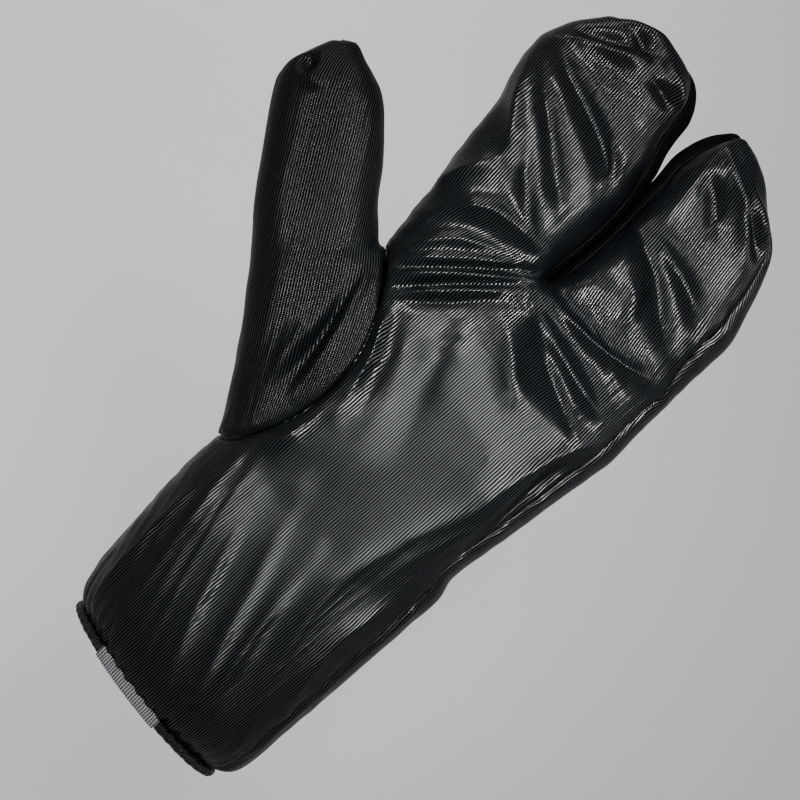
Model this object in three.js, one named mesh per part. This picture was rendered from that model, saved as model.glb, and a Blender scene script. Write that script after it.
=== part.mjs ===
// Left-hand lobster claw mitt: a thin ribbed nylon over-mitt with a thumb and two finger lobes.
// Millimetres. +Z runs from the cuff mouth to the fingertips, the palm faces -Y, the thumb is at -X.
// The origin is the middle of the cuff mouth.
import * as THREE from "three";

// Palm and cuff
const PALM_LENGTH = 200; // cuff mouth to the fork between the finger lobes
const PALM_WIDTH = 100;
const PALM_DEPTH = 45;
const PALM_FULLNESS = 2.4; // 2 is an ellipse, more is a squarer section
const HEM_WIDTH = 77;
const HEM_DEPTH = 56;
const HEM_SLOPE = 0.125; // the thumb side of the mouth sits higher than the other side

// Finger lobes
const FORK_ACROSS = -1.8; // how far the fork lies from the middle line
const INDEX_LOBE_LENGTH = 90;
const INDEX_LOBE_WIDTH = 60;
const RING_LOBE_LENGTH = 85;
const RING_LOBE_WIDTH = 62;
const LOBE_DEPTH = 32;
const LOBE_FULLNESS = 2.3;
const LOBE_GAP = 1.8; // the slit between the lobes
const LOBE_SPREAD = 5.2; // what the slit gains towards the tips
const FORK_BOW = 3.2; // sideways bow of the slit
const BOW_REACH = 0.75; // the bow's length, share of the ring lobe's
const SPREAD_START = 0.35; // where the slit starts to widen, share of the ring lobe's length
const GUSSET_BULGE = 0.35; // share of half the slit
const FINGER_CURL = 9; // the fingertips lean this far to the palm side
const CURL_START = 0.7; // where the hand starts to curl, share of the palm's length
const GUSSET_ANGLE = 0.42; // how far the lobe panels stop short of the slit, in radians

// Thumb
const THUMB_BOTTOM = 82; // height of the lower corner of the thumb hole
const THUMB_TOP = 167; // height of the upper corner, where the thumb meets the index lobe
const THUMB_LENGTH = 144;
const THUMB_WIDTH = 45;
const THUMB_DEPTH = 31;
const THUMB_ANGLE = 0.64; // lean of the thumb from the hand's axis, in radians
const THUMB_FORWARD = 8; // the thumb tip leans this far to the palm side
const THUMB_HOLE_FRONT = 0.98; // how far the thumb hole reaches round the palm, in radians
const THUMB_HOLE_BACK = 0.72; // and round the back
const THUMB_HOLE_SHAPE = 0.35; // less is a squarer hole
const WEB_POWER = 5; // more keeps the web between thumb and palm closer to the hole's edge

// Cloth, seams and hem
const CLOTH = 1.2;
const SEAM_GAP = 0.4;
const SIDE_SEAM_ANGLE = 0.48; // how far the back panel wraps round to the palm side, in radians
const HEM_ROLL = 3.8; // diameter of the gathered hem
const HEM_GATHERS = 30;
const GATHER_DEPTH = 0.16; // share of the roll's radius
const ELASTIC_WIDTH = 4.3;
const ELASTIC_THICK = 1.4;
const ELASTIC_START = 4.12; // where the bare elastic starts round the mouth, in radians
const ELASTIC_LENGTH = 32;
const ELASTIC_STEPS = 14;
const CASING_SIDES = 6;

// Sections of the palm, shares of its length, and of the hem's or the palm's width and depth.
// Column "hem" says how much of the hem's size, against the palm's, a section takes.
const PALM_SECTIONS = [
  { along: 0.01, hem: 1, left: -0.475, right: 0.475, depth: 0.932 },
  { along: 0.03, hem: 1, left: -0.525, right: 0.545, depth: 1.03 },
  { along: 0.065, hem: 1, left: -0.55, right: 0.58, depth: 1.06 },
  { along: 0.14, hem: 0.5, left: -0.503, right: 0.52, depth: 1.14 },
  { along: 0.23, hem: 0, left: -0.454, right: 0.478, depth: 1.2 },
  { along: 0.33, hem: 0, left: -0.462, right: 0.492, depth: 1.12 },
  { along: 0.41, hem: 0, left: -0.454, right: 0.505, depth: 1.06 },
  { along: 0.48, hem: 0, left: -0.457, right: 0.512, depth: 1.03 },
  { along: 0.52, hem: 0, left: -0.46, right: 0.494, depth: 1.02 },
  { along: 0.6, hem: 0, left: -0.47, right: 0.516, depth: 1 },
  { along: 0.69, hem: 0, left: -0.485, right: 0.547, depth: 1 },
  { along: 0.785, hem: 0, left: -0.5, right: 0.577, depth: 0.98 },
  { along: 0.84, hem: 0, left: -0.51, right: 0.6, depth: 0.95 },
  { along: 0.915, hem: 0, left: -0.522, right: 0.597, depth: 0.88 },
  { along: 1, hem: 0, left: -0.543, right: 0.605, depth: 0.75 },
];

// Sections of the finger lobes, from the fork to the tip, shares of the lobe's length, width and depth.
// "draw" is how far the inner edge pulls back from the slit. "seam" is how far the back panel wraps
// round to the palm side of the ring lobe, share of SIDE_SEAM_ANGLE.
const INDEX_SECTIONS = [
  { outerAlong: 0, outer: 0.875, innerAlong: 0, draw: 0, depth: 1.05 },
  { outerAlong: 0.133, outer: 0.908, innerAlong: 0.111, draw: 0, depth: 1.05 },
  { outerAlong: 0.248, outer: 0.932, innerAlong: 0.222, draw: 0, depth: 1.03 },
  { outerAlong: 0.389, outer: 0.953, innerAlong: 0.367, draw: 0, depth: 1 },
  { outerAlong: 0.536, outer: 1.02, innerAlong: 0.511, draw: 0, depth: 0.98 },
  { outerAlong: 0.668, outer: 1.038, innerAlong: 0.644, draw: 0.01, depth: 0.97 },
  { outerAlong: 0.75, outer: 0.998, innerAlong: 0.756, draw: 0.04, depth: 0.93 },
  { outerAlong: 0.833, outer: 0.933, innerAlong: 0.85, draw: 0.05, depth: 0.84 },
  { outerAlong: 0.911, outer: 0.833, innerAlong: 0.92, draw: 0.09, depth: 0.68 },
  { outerAlong: 0.967, outer: 0.708, innerAlong: 0.967, draw: 0.16, depth: 0.46 },
  { outerAlong: 0.998, outer: 0.55, innerAlong: 1, draw: 0.27, depth: 0 },
];
const RING_SECTIONS = [
  { outerAlong: 0, outer: 1.005, innerAlong: 0, draw: 0, depth: 1.05, seam: 1.1 },
  { outerAlong: 0.118, outer: 0.992, innerAlong: 0.118, draw: 0, depth: 1.03, seam: 1.4 },
  { outerAlong: 0.241, outer: 0.997, innerAlong: 0.235, draw: 0, depth: 1, seam: 1.6 },
  { outerAlong: 0.371, outer: 1, innerAlong: 0.376, draw: 0, depth: 0.98, seam: 1.6 },
  { outerAlong: 0.506, outer: 0.944, innerAlong: 0.529, draw: 0, depth: 0.96, seam: 1.4 },
  { outerAlong: 0.653, outer: 0.871, innerAlong: 0.671, draw: 0.01, depth: 0.93, seam: 1.1 },
  { outerAlong: 0.771, outer: 0.774, innerAlong: 0.812, draw: 0.02, depth: 0.86, seam: 0.9 },
  { outerAlong: 0.853, outer: 0.629, innerAlong: 0.906, draw: 0.05, depth: 0.74, seam: 0.8 },
  { outerAlong: 0.921, outer: 0.516, innerAlong: 0.965, draw: 0.09, depth: 0.58, seam: 0.6 },
  { outerAlong: 0.962, outer: 0.419, innerAlong: 0.998, draw: 0.14, depth: 0.4, seam: 0.4 },
  { outerAlong: 0.984, outer: 0.331, innerAlong: 1, draw: 0.2, depth: 0, seam: 0 },
];

// Sections of the thumb: places of its two edges along and across its own axis, shares of its length
// and width. The first two end inside the palm, where the hole's edge cuts them short.
const THUMB_SECTIONS = [
  { leftAlong: 0, left: 0, rightAlong: 0.02, right: 1.04, depth: 1.12 },
  { leftAlong: 0.243, left: 0.053, rightAlong: 0.26, right: 1.1, depth: 1.06 },
  { leftAlong: 0.43, left: 0.033, rightAlong: 0.499, right: 1.036, depth: 1.02 },
  { leftAlong: 0.576, left: 0.009, rightAlong: 0.62, right: 0.984, depth: 1 },
  { leftAlong: 0.7, left: 0.02, rightAlong: 0.735, right: 0.974, depth: 0.98 },
  { leftAlong: 0.806, left: 0.033, rightAlong: 0.828, right: 0.933, depth: 0.95 },
  { leftAlong: 0.882, left: 0.058, rightAlong: 0.882, right: 0.88, depth: 0.88 },
  { leftAlong: 0.924, left: 0.129, rightAlong: 0.92, right: 0.807, depth: 0.75 },
  { leftAlong: 0.955, left: 0.267, rightAlong: 0.951, right: 0.733, depth: 0.56 },
  { leftAlong: 0.983, left: 0.422, rightAlong: 0.979, right: 0.678, depth: 0.34 },
  { leftAlong: 1, left: 0.533, rightAlong: 0.997, right: 0.633, depth: 0 },
];

// Folds: each runs through three points, with its height and half-width as shares of the cloth's
// depth there. Palm points are shares of the palm's width and length from the origin.
const PALM_FOLDS = [
  { x1: -0.42, z1: 0.85, x2: -0.31, z2: 0.91, x3: -0.08, z3: 1, high: 0.05, wide: 0.08 },
  { x1: -0.36, z1: 0.81, x2: -0.25, z2: 0.885, x3: -0.05, z3: 0.99, high: -0.05, wide: 0.07 },
  { x1: -0.31, z1: 0.8, x2: -0.22, z2: 0.86, x3: -0.06, z3: 0.975, high: 0.05, wide: 0.08 },
  { x1: -0.02, z1: 0.985, x2: 0.115, z2: 0.89, x3: 0.325, z3: 0.815, high: -0.05, wide: 0.12 },
  { x1: 0.01, z1: 0.957, x2: 0.23, z2: 0.886, x3: 0.455, z3: 0.84, high: 0.06, wide: 0.08 },
  { x1: 0.04, z1: 0.973, x2: 0.28, z2: 0.945, x3: 0.49, z3: 0.97, high: 0.045, wide: 0.07 },
  { x1: 0.53, z1: 0.88, x2: 0.43, z2: 0.78, x3: 0.36, z3: 0.66, high: 0.07, wide: 0.12 },
  { x1: 0.36, z1: 0.66, x2: 0.25, z2: 0.5, x3: 0.2, z3: 0.38, high: 0.06, wide: 0.13 },
  { x1: 0.2, z1: 0.38, x2: 0.25, z2: 0.27, x3: 0.35, z3: 0.08, high: 0.05, wide: 0.1 },
  { x1: 0.53, z1: 0.82, x2: 0.475, z2: 0.72, x3: 0.43, z3: 0.6, high: -0.09, wide: 0.13 },
  { x1: -0.13, z1: 0.79, x2: -0.04, z2: 0.7, x3: 0.04, z3: 0.565, high: -0.035, wide: 0.2 },
  { x1: -0.32, z1: 0.785, x2: -0.25, z2: 0.69, x3: -0.22, z3: 0.55, high: 0.05, wide: 0.09 },
  { x1: -0.325, z1: 0.43, x2: -0.28, z2: 0.25, x3: -0.195, z3: 0.06, high: 0.035, wide: 0.09 },
  { x1: -0.1, z1: 0.345, x2: -0.07, z2: 0.265, x3: 0.04, z3: 0.075, high: 0.035, wide: 0.09 },
  { x1: 0.09, z1: 0.365, x2: 0.1, z2: 0.27, x3: 0.145, z3: 0.08, high: 0.03, wide: 0.08 },
];
// Index lobe points are shares of its width and length from the fork.
const INDEX_FOLDS = [
  { x1: -0.66, z1: -0.04, x2: -0.52, z2: 0.06, x3: -0.21, z3: 0.08, high: 0.07, wide: 0.12 },
  { x1: -0.94, z1: 0.54, x2: -0.83, z2: 0.385, x3: -0.69, z3: 0.255, high: 0.06, wide: 0.11 },
  { x1: -0.73, z1: 0.4, x2: -0.58, z2: 0.3, x3: -0.43, z3: 0.185, high: 0.06, wide: 0.1 },
  { x1: -0.88, z1: 0.58, x2: -0.56, z2: 0.39, x3: -0.35, z3: 0.275, high: 0.06, wide: 0.1 },
  { x1: -0.785, z1: 0.59, x2: -0.54, z2: 0.5, x3: -0.14, z3: 0.39, high: -0.06, wide: 0.1 },
  { x1: -0.96, z1: 0.69, x2: -0.55, z2: 0.57, x3: -0.27, z3: 0.5, high: 0.09, wide: 0.11 },
  { x1: -0.96, z1: 0.69, x2: -0.69, z2: 0.8, x3: -0.4, z3: 0.855, high: 0.06, wide: 0.11 },
  { x1: -0.97, z1: 0.74, x2: -0.82, z2: 0.8, x3: -0.59, z3: 0.87, high: -0.07, wide: 0.1 },
  { x1: -0.42, z1: 0.83, x2: -0.3, z2: 0.82, x3: -0.19, z3: 0.795, high: -0.05, wide: 0.1 },
];
// Ring lobe points, likewise.
const RING_FOLDS = [
  { x1: 0.4, z1: 0.21, x2: 0.45, z2: 0.04, x3: 0.8, z3: -0.025, high: 0.08, wide: 0.11 },
  { x1: 0.255, z1: 0.26, x2: 0.48, z2: 0.118, x3: 0.67, z3: 0.024, high: -0.06, wide: 0.1 },
  { x1: 0.195, z1: 0.387, x2: 0.52, z2: 0.236, x3: 0.74, z3: 0.064, high: 0.08, wide: 0.11 },
  { x1: 0.25, z1: 0.434, x2: 0.68, z2: 0.3, x3: 0.79, z3: 0.125, high: 0.06, wide: 0.1 },
  { x1: 0.22, z1: 0.88, x2: 0.33, z2: 0.735, x3: 0.43, z3: 0.63, high: 0.07, wide: 0.12 },
  { x1: 0.35, z1: 0.85, x2: 0.48, z2: 0.84, x3: 0.63, z3: 0.78, high: -0.05, wide: 0.1 },
];
// Back folds, in palm shares.
const BACK_FOLDS = [
  { x1: -0.02, z1: 0.97, x2: 0.04, z2: 0.83, x3: 0.1, z3: 0.66, high: -0.06, wide: 0.16 },
  { x1: -0.4, z1: 0.86, x2: -0.2, z2: 0.8, x3: 0.02, z3: 0.8, high: 0.04, wide: 0.14 },
  { x1: 0.44, z1: 0.78, x2: 0.22, z2: 0.72, x3: -0.08, z3: 0.7, high: -0.04, wide: 0.15 },
  { x1: -0.3, z1: 0.44, x2: -0.24, z2: 0.26, x3: -0.2, z3: 0.08, high: 0.04, wide: 0.1 },
  { x1: 0.04, z1: 0.4, x2: 0.02, z2: 0.24, x3: 0.01, z3: 0.08, high: 0.035, wide: 0.11 },
  { x1: 0.34, z1: 0.46, x2: 0.28, z2: 0.26, x3: 0.24, z3: 0.08, high: 0.04, wide: 0.1 },
];
// Folds on the palm side of the thumb, in palm shares, beside the seam of its hole.
const THUMB_FOLDS = [
  { x1: -0.39, z1: 0.53, x2: -0.44, z2: 0.695, x3: -0.51, z3: 0.82, high: -0.08, wide: 0.12 },
  { x1: -0.36, z1: 0.6, x2: -0.41, z2: 0.73, x3: -0.47, z3: 0.81, high: 0.04, wide: 0.08 },
  { x1: -0.72, z1: 0.72, x2: -0.8, z2: 0.83, x3: -0.88, z3: 0.92, high: -0.03, wide: 0.14 },
];

// How finely the cloth is divided
const CUFF_ROWS = 9;
const THUMB_HOLE_ROWS = 13;
const KNUCKLE_ROWS = 8;
const LOBE_COLUMNS = 9; // on the palm side of a lobe, and on its back
const GUSSET_COLUMNS = 4;
const ROWS_PER_LOBE_SECTION = 2;
const THUMB_COLUMNS = 10;
const ROWS_PER_THUMB_SECTION = 1.5;
const HOLE_EASE = 0.85; // share of the columns that make way for the thumb hole
const PINCH_START = 0.72; // where the palm starts to part into lobes, share of its length
const PINCH_POWER = 2.4;
const FULL_ALONG = 0.08; // the section is an ellipse at the hem and full from here on, share of its length
const SLOPE_END = 0.4; // where the slope of the mouth has faded out, share of the palm's length
const SEAM_TURN = 0.5; // where the side seam starts to turn to the ring lobe's, share of the length
const ROW_EASE = 1.3; // more brings the rows closer at the hem and the fork
const LEFT = Math.PI; // angle of the thumb side of a section; the palm side runs on to RIGHT
const RIGHT = 2 * Math.PI;

const mix = (a, b, t) => a + (b - a) * t;
const clamp = (t) => Math.min(1, Math.max(0, t));
const smooth = (t) => clamp(t) ** 2 * (3 - 2 * clamp(t));
const mixPoint = (p, q, t) => p.map((value, k) => mix(value, q[k], t));

// The value of one column of a table at a place, on a smooth curve through its rows.
function column(table, key, name, place) {
  const last = table.length - 2;
  let i = table.findIndex((row, k) => k > 0 && row[key] >= place) - 1;
  i = i < 0 ? (place <= table[0][key] ? 0 : last) : i;
  const slope = (k) => {
    const a = table[Math.max(0, k - 1)];
    const b = table[Math.min(table.length - 1, k + 1)];
    return (b[name] - a[name]) / (b[key] - a[key]);
  };
  const span = table[i + 1][key] - table[i][key];
  const t = clamp((place - table[i][key]) / span);
  const start = table[i][name];
  const end = table[i + 1][name];
  return (
    start * (1 + 2 * t) * (1 - t) ** 2 +
    slope(i) * span * t * (1 - t) ** 2 +
    end * t * t * (3 - 2 * t) -
    slope(i + 1) * span * t * t * (1 - t)
  );
}

// A point on a section: angle LEFT is its thumb side, RIGHT its other side, between them the palm side.
function onSection(left, right, halfDepth, fullness, angle) {
  const power = 2 / fullness;
  const c = Math.sign(Math.cos(angle)) * Math.abs(Math.cos(angle)) ** power;
  const s = Math.sign(Math.sin(angle)) * Math.abs(Math.sin(angle)) ** power;
  return [(left + right) / 2 + (c * (right - left)) / 2, s * halfDepth];
}

// The middle plane leans to the palm side towards the fingertips.
const CURL_FROM = PALM_LENGTH * CURL_START;
const CURL_TO = PALM_LENGTH + INDEX_LOBE_LENGTH;
const curl = (z) => -FINGER_CURL * clamp((z - CURL_FROM) / (CURL_TO - CURL_FROM)) ** 2;

const FIRST_ALONG = (HEM_ROLL + SEAM_GAP) / 2 / PALM_LENGTH;
function palmSize(along) {
  const at = (name) => column(PALM_SECTIONS, "along", name, along);
  const width = mix(PALM_WIDTH, HEM_WIDTH, at("hem"));
  const depth = mix(PALM_DEPTH, HEM_DEPTH, at("hem"));
  return { left: width * at("left"), right: width * at("right"), depth: (depth * at("depth")) / 2 };
}

// The slit between the lobes, at a height above the fork
function slit(height) {
  const middle = FORK_ACROSS + FORK_BOW * Math.sin(Math.PI * clamp(height / (BOW_REACH * RING_LOBE_LENGTH)));
  const opening = LOBE_GAP * clamp(height / (2 * LOBE_GAP)) ** 0.5;
  const widening = LOBE_SPREAD * smooth((height / RING_LOBE_LENGTH - SPREAD_START) / (1 - SPREAD_START));
  return { middle, half: (opening + widening) / 2 };
}

// Each lobe: side -1 is the index lobe, with its outer edge at LEFT, +1 the ring lobe.
const INDEX = { side: -1, length: INDEX_LOBE_LENGTH, width: INDEX_LOBE_WIDTH, table: INDEX_SECTIONS };
const RING = { side: 1, length: RING_LOBE_LENGTH, width: RING_LOBE_WIDTH, table: RING_SECTIONS };

// A point of a lobe at a row of its table and an angle. Its inner edge stands GUSSET_ANGLE short of the end.
function onLobe(lobe, place, angle) {
  const rows = lobe.table.map((row, index) => ({ ...row, index }));
  const at = (name) => column(rows, "index", name, place);
  const innerHeight = lobe.length * at("innerAlong");
  const { middle, half } = slit(innerHeight);
  const inner = middle + lobe.side * (half + lobe.width * at("draw"));
  const outer = FORK_ACROSS + lobe.side * lobe.width * at("outer");
  const reach = Math.cos(GUSSET_ANGLE) ** (2 / LOBE_FULLNESS);
  const end = outer + ((inner - outer) * 2) / (1 + reach);
  const [left, right] = lobe.side < 0 ? [outer, end] : [end, outer];
  const [x, y] = onSection(left, right, (LOBE_DEPTH * at("depth")) / 2, LOBE_FULLNESS, angle);
  const share = (x - outer) / (inner - outer);
  const z = PALM_LENGTH + mix(lobe.length * at("outerAlong"), innerHeight, clamp(share));
  return [x, y + curl(z), z];
}
const lobeSeam = (place) => SIDE_SEAM_ANGLE * column(
  RING_SECTIONS.map((row, index) => ({ ...row, index })), "index", "seam", place,
);

// Evenly spaced numbers, both ends included
const spread = (from, to, count) => Array.from({ length: count + 1 }, (_, k) => mix(from, to, k / count));

// Angles of the columns of a row, first to last, on the palm side or on the back.
function lobeAngles(lobe, place, back) {
  if (lobe === INDEX) return spread(LEFT, back ? GUSSET_ANGLE : RIGHT - GUSSET_ANGLE, LOBE_COLUMNS);
  const seam = lobeSeam(place);
  return back
    ? spread(LEFT - GUSSET_ANGLE, -seam, LOBE_COLUMNS)
    : spread(LEFT + GUSSET_ANGLE, RIGHT - seam, LOBE_COLUMNS);
}

// The two lobes' first rows, side by side, which are also the last row of the palm.
function forkRow(back) {
  const index = lobeAngles(INDEX, 0, back).map((angle) => onLobe(INDEX, 0, angle));
  const ring = lobeAngles(RING, 0, back).map((angle) => onLobe(RING, 0, angle));
  return [...index, ...ring.slice(1)];
}
const FORK_ROWS = { front: forkRow(false), back: forkRow(true) };

// The edge of the thumb hole, at a share of its height, as an angle from the thumb side.
function holeAngle(along, back) {
  const t = (along * PALM_LENGTH - THUMB_BOTTOM) / (THUMB_TOP - THUMB_BOTTOM);
  if (t <= 0 || t >= 1) return 0;
  return (back ? THUMB_HOLE_BACK : THUMB_HOLE_FRONT) * Math.sin(Math.PI * t) ** THUMB_HOLE_SHAPE;
}

// One row of the palm or the back, from the thumb side's edge to the side seam.
function palmRow(along, back) {
  const { left, right, depth } = palmSize(along);
  const fork = back ? FORK_ROWS.back : FORK_ROWS.front;
  const count = fork.length - 1;
  const seam = SIDE_SEAM_ANGLE * mix(1, RING_SECTIONS[0].seam, smooth((along - SEAM_TURN) / (1 - SEAM_TURN)));
  const turn = back ? -1 : 1;
  const total = back ? Math.PI + seam : Math.PI - seam;
  const parted = clamp((along - PINCH_START) / (1 - PINCH_START)) ** PINCH_POWER;
  const hole = holeAngle(along, back);
  return fork.map((forkPoint, k) => {
    const ease = clamp(1 - k / (HOLE_EASE * count)) ** 2;
    const angle = LEFT + turn * ((total * k) / count + hole * ease);
    const fullness = mix(2, PALM_FULLNESS, smooth((along - FIRST_ALONG) / FULL_ALONG));
    const [x, y] = onSection(left, right, depth, fullness, angle);
    const z = along * PALM_LENGTH;
    const tilt = -HEM_SLOPE * x * (1 - smooth(along / SLOPE_END));
    const [px, py] = mixPoint([x, y + curl(z)], forkPoint, parted);
    return [px, py, z + tilt];
  });
}

const HOLE_LOW = THUMB_BOTTOM / PALM_LENGTH;
const HOLE_HIGH = THUMB_TOP / PALM_LENGTH;
const rounded = (k, count) => (1 - Math.cos((Math.PI * k) / count)) / 2;
const PALM_PLACES = [
  ...spread(0, 1, CUFF_ROWS).slice(0, -1).map((t) => mix(FIRST_ALONG, HOLE_LOW, t ** ROW_EASE)),
  ...spread(0, 1, THUMB_HOLE_ROWS).map((_, k) => mix(HOLE_LOW, HOLE_HIGH, rounded(k, THUMB_HOLE_ROWS))),
  ...spread(0, 1, KNUCKLE_ROWS).slice(1).map((t) => mix(HOLE_HIGH, 1, 1 - (1 - t) ** ROW_EASE)),
];

// The places of a lobe's rows, with one more close to the fork, where the slit opens.
const FORK_STEP = 0.15;
const LOBE_LAST = INDEX_SECTIONS.length - 1;
const LOBE_PLACES = spread(0, LOBE_LAST, LOBE_LAST * ROWS_PER_LOBE_SECTION);
LOBE_PLACES.splice(1, 0, FORK_STEP);

// Folds as lines in millimetres: points in the plane of the hand, height and half-width.
function foldLines(folds, centre, width, length, depth) {
  return folds.map((fold) => ({
    points: [1, 2, 3].map((k) => [centre[0] + fold[`x${k}`] * width, centre[1] + fold[`z${k}`] * length]),
    high: fold.high * depth,
    wide: fold.wide * depth,
  }));
}
const FORK = [FORK_ACROSS, PALM_LENGTH];
const palmLines = (folds) => foldLines(folds, [0, 0], PALM_WIDTH, PALM_LENGTH, PALM_DEPTH);
const FRONT_LINES = [
  ...palmLines(PALM_FOLDS),
  ...foldLines(INDEX_FOLDS, FORK, INDEX_LOBE_WIDTH, INDEX_LOBE_LENGTH, LOBE_DEPTH),
  ...foldLines(RING_FOLDS, FORK, RING_LOBE_WIDTH, RING_LOBE_LENGTH, LOBE_DEPTH),
];
const BACK_LINES = palmLines(BACK_FOLDS);
const THUMB_LINES = foldLines(THUMB_FOLDS, [0, 0], PALM_WIDTH, PALM_LENGTH, THUMB_DEPTH);

// How far the cloth stands out at a place: each fold fades across its width and at its ends.
function foldHeight(lines, x, z) {
  let sum = 0;
  for (const { points, high, wide } of lines) {
    let best = Infinity;
    for (let k = 0; k < points.length - 1; k++) {
      const [ax, az] = points[k];
      const [bx, bz] = points[k + 1];
      const length = (bx - ax) ** 2 + (bz - az) ** 2;
      const t = clamp(((x - ax) * (bx - ax) + (z - az) * (bz - az)) / length);
      best = Math.min(best, Math.hypot(x - mix(ax, bx, t), z - mix(az, bz, t)));
    }
    sum += high * Math.exp(-((best / wide) ** 2));
  }
  return sum;
}

// Lifts a grid of points by its folds, towards the palm side (-1) or the back (1), but not at its
// seams. Its last row is a seam only at the fork, a column of it, or all along where there is none.
function lift(rows, lines, direction, fork) {
  return rows.map((row, i) =>
    row.map(([x, y, z], j) => {
      const lastSeam = i === rows.length - 1 && (fork === undefined || j === fork);
      const seam = j === 0 || j === row.length - 1 || i === 0 || lastSeam;
      return [x, y + (seam ? 0 : direction * foldHeight(lines, x, z)), z];
    }),
  );
}

// Quads of a grid as corner points, wound so that they face out.
function quads(rows, flip) {
  const list = [];
  for (let i = 0; i < rows.length - 1; i++)
    for (let j = 0; j < rows[i].length - 1; j++) {
      const corners = [rows[i][j], rows[i][j + 1], rows[i + 1][j + 1], rows[i + 1][j]];
      list.push(flip ? corners.reverse() : corners);
    }
  return list;
}

// Palm and back: the palm's grid, with a lobe's grid on each half of its last row.
function handPanel(back) {
  const lines = back ? BACK_LINES : FRONT_LINES;
  const palm = PALM_PLACES.map((along) => palmRow(along, back));
  palm[palm.length - 1] = back ? FORK_ROWS.back : FORK_ROWS.front;
  const lobeGrid = (lobe) => LOBE_PLACES.map((place) =>
    lobeAngles(lobe, place, back).map((angle) => onLobe(lobe, place, angle)),
  );
  const direction = back ? 1 : -1;
  const palmGrid = lift(palm, lines, direction, LOBE_COLUMNS);
  const grids = [palmGrid];
  for (const lobe of [INDEX, RING]) {
    const raised = lift(lobeGrid(lobe), lines, direction);
    const shared = palmGrid[palmGrid.length - 1];
    raised[0] = lobe === INDEX ? shared.slice(0, LOBE_COLUMNS + 1) : shared.slice(LOBE_COLUMNS);
    grids.push(raised);
  }
  return grids.flatMap((grid) => quads(grid, back));
}

// The gusset lines the slit: down the index lobe's inner side, round the fork and up the ring lobe's.
function gussetPanel() {
  const wall = (lobe, place) => {
    const start = lobe === INDEX ? RIGHT - GUSSET_ANGLE : LEFT + GUSSET_ANGLE;
    const front = onLobe(lobe, place, start);
    const rear = onLobe(lobe, place, lobe === INDEX ? GUSSET_ANGLE : LEFT - GUSSET_ANGLE);
    const thick = clamp((rear[1] - front[1]) / (LOBE_DEPTH / 2));
    const bulge = -lobe.side * GUSSET_BULGE * slit(front[2] - PALM_LENGTH).half * thick;
    return spread(0, 1, GUSSET_COLUMNS).map((t) => {
      const [x, y, z] = mixPoint(front, rear, t);
      return [x + bulge * 4 * t * (1 - t), y, z];
    });
  };
  const down = [...LOBE_PLACES].reverse().map((place) => wall(INDEX, place));
  const up = LOBE_PLACES.slice(1).map((place) => wall(RING, place));
  return quads([...down, ...up], true);
}

// The thumb's own frame: along its axis and across it, from the lower corner of its hole.
const THUMB_ROOT = [palmSize(HOLE_LOW).left, THUMB_BOTTOM];
const THUMB_CROTCH = [palmSize(HOLE_HIGH).left, THUMB_TOP];
function thumbPlace(along, across) {
  const s = along * THUMB_LENGTH;
  const q = across * THUMB_WIDTH;
  const sin = Math.sin(THUMB_ANGLE);
  const cos = Math.cos(THUMB_ANGLE);
  return [THUMB_ROOT[0] - s * sin + q * cos, THUMB_ROOT[1] + s * cos + q * sin];
}

// The thumb's sections with their edges in the plane of the hand. The third reaches the crotch.
const CROTCH_ROW = 2;
const THUMB_STATIONS = THUMB_SECTIONS.map((row, index) => {
  const [lx, lz] = index === 0 ? THUMB_ROOT : thumbPlace(row.leftAlong, row.left);
  const [rx, rz] = index === CROTCH_ROW ? THUMB_CROTCH : thumbPlace(row.rightAlong, row.right);
  return { index, lx, lz, rx, rz, depth: row.depth };
});
const THUMB_LAST = THUMB_STATIONS.length - 1;

// One row of the thumb from its outer edge to "end", a point on the edge of the hole or nothing.
function thumbRow(place, back, end) {
  const at = (name) => column(THUMB_STATIONS, "index", name, place);
  const [lx, lz, rx, rz] = ["lx", "lz", "rx", "rz"].map(at);
  const turn = back ? -1 : 1;
  const forward = -THUMB_FORWARD * smooth(place / THUMB_LAST);
  const point = (angle) => {
    const [across, depth] = onSection(0, 1, (THUMB_DEPTH * at("depth")) / 2, LOBE_FULLNESS, angle);
    return [mix(lx, rx, across), depth + forward, mix(lz, rz, across)];
  };
  let reach = Math.PI;
  if (end) {
    const share = ((end[0] - lx) * (rx - lx) + (end[2] - lz) * (rz - lz)) / ((rx - lx) ** 2 + (rz - lz) ** 2);
    const cosine = 2 * clamp(share) - 1;
    reach = Math.PI - Math.acos(Math.sign(cosine) * Math.abs(cosine) ** (LOBE_FULLNESS / 2));
  }
  const last = point(LEFT + turn * reach);
  return spread(0, 1, THUMB_COLUMNS).map((t) => {
    const p = point(LEFT + turn * reach * t);
    return end ? p.map((value, axis) => value + (end[axis] - last[axis]) * t ** WEB_POWER) : p;
  });
}

// One side of the thumb: rows that end on the edge of its hole, then whole rows up to the tip.
function thumbPanel(back) {
  const holePlaces = PALM_PLACES.slice(CUFF_ROWS, CUFF_ROWS + THUMB_HOLE_ROWS + 1);
  const low = holePlaces.map((along) => {
    const t = (along - HOLE_LOW) / (HOLE_HIGH - HOLE_LOW);
    return thumbRow(CROTCH_ROW * t, back, palmRow(along, back)[0]);
  });
  const steps = Math.round((THUMB_LAST - CROTCH_ROW) * ROWS_PER_THUMB_SECTION);
  const high = spread(CROTCH_ROW, THUMB_LAST, steps).slice(1).map((place) => thumbRow(place, back));
  low[0] = low[0].map(() => palmRow(HOLE_LOW, back)[0]);
  const rows = [...low, ...high];
  return quads(back ? rows : lift(rows, THUMB_LINES, -1), back);
}

const SAME_POINT = 0.002;
const keyOf = (p) => p.map((value) => Math.round(value / SAME_POINT)).join();

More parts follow.
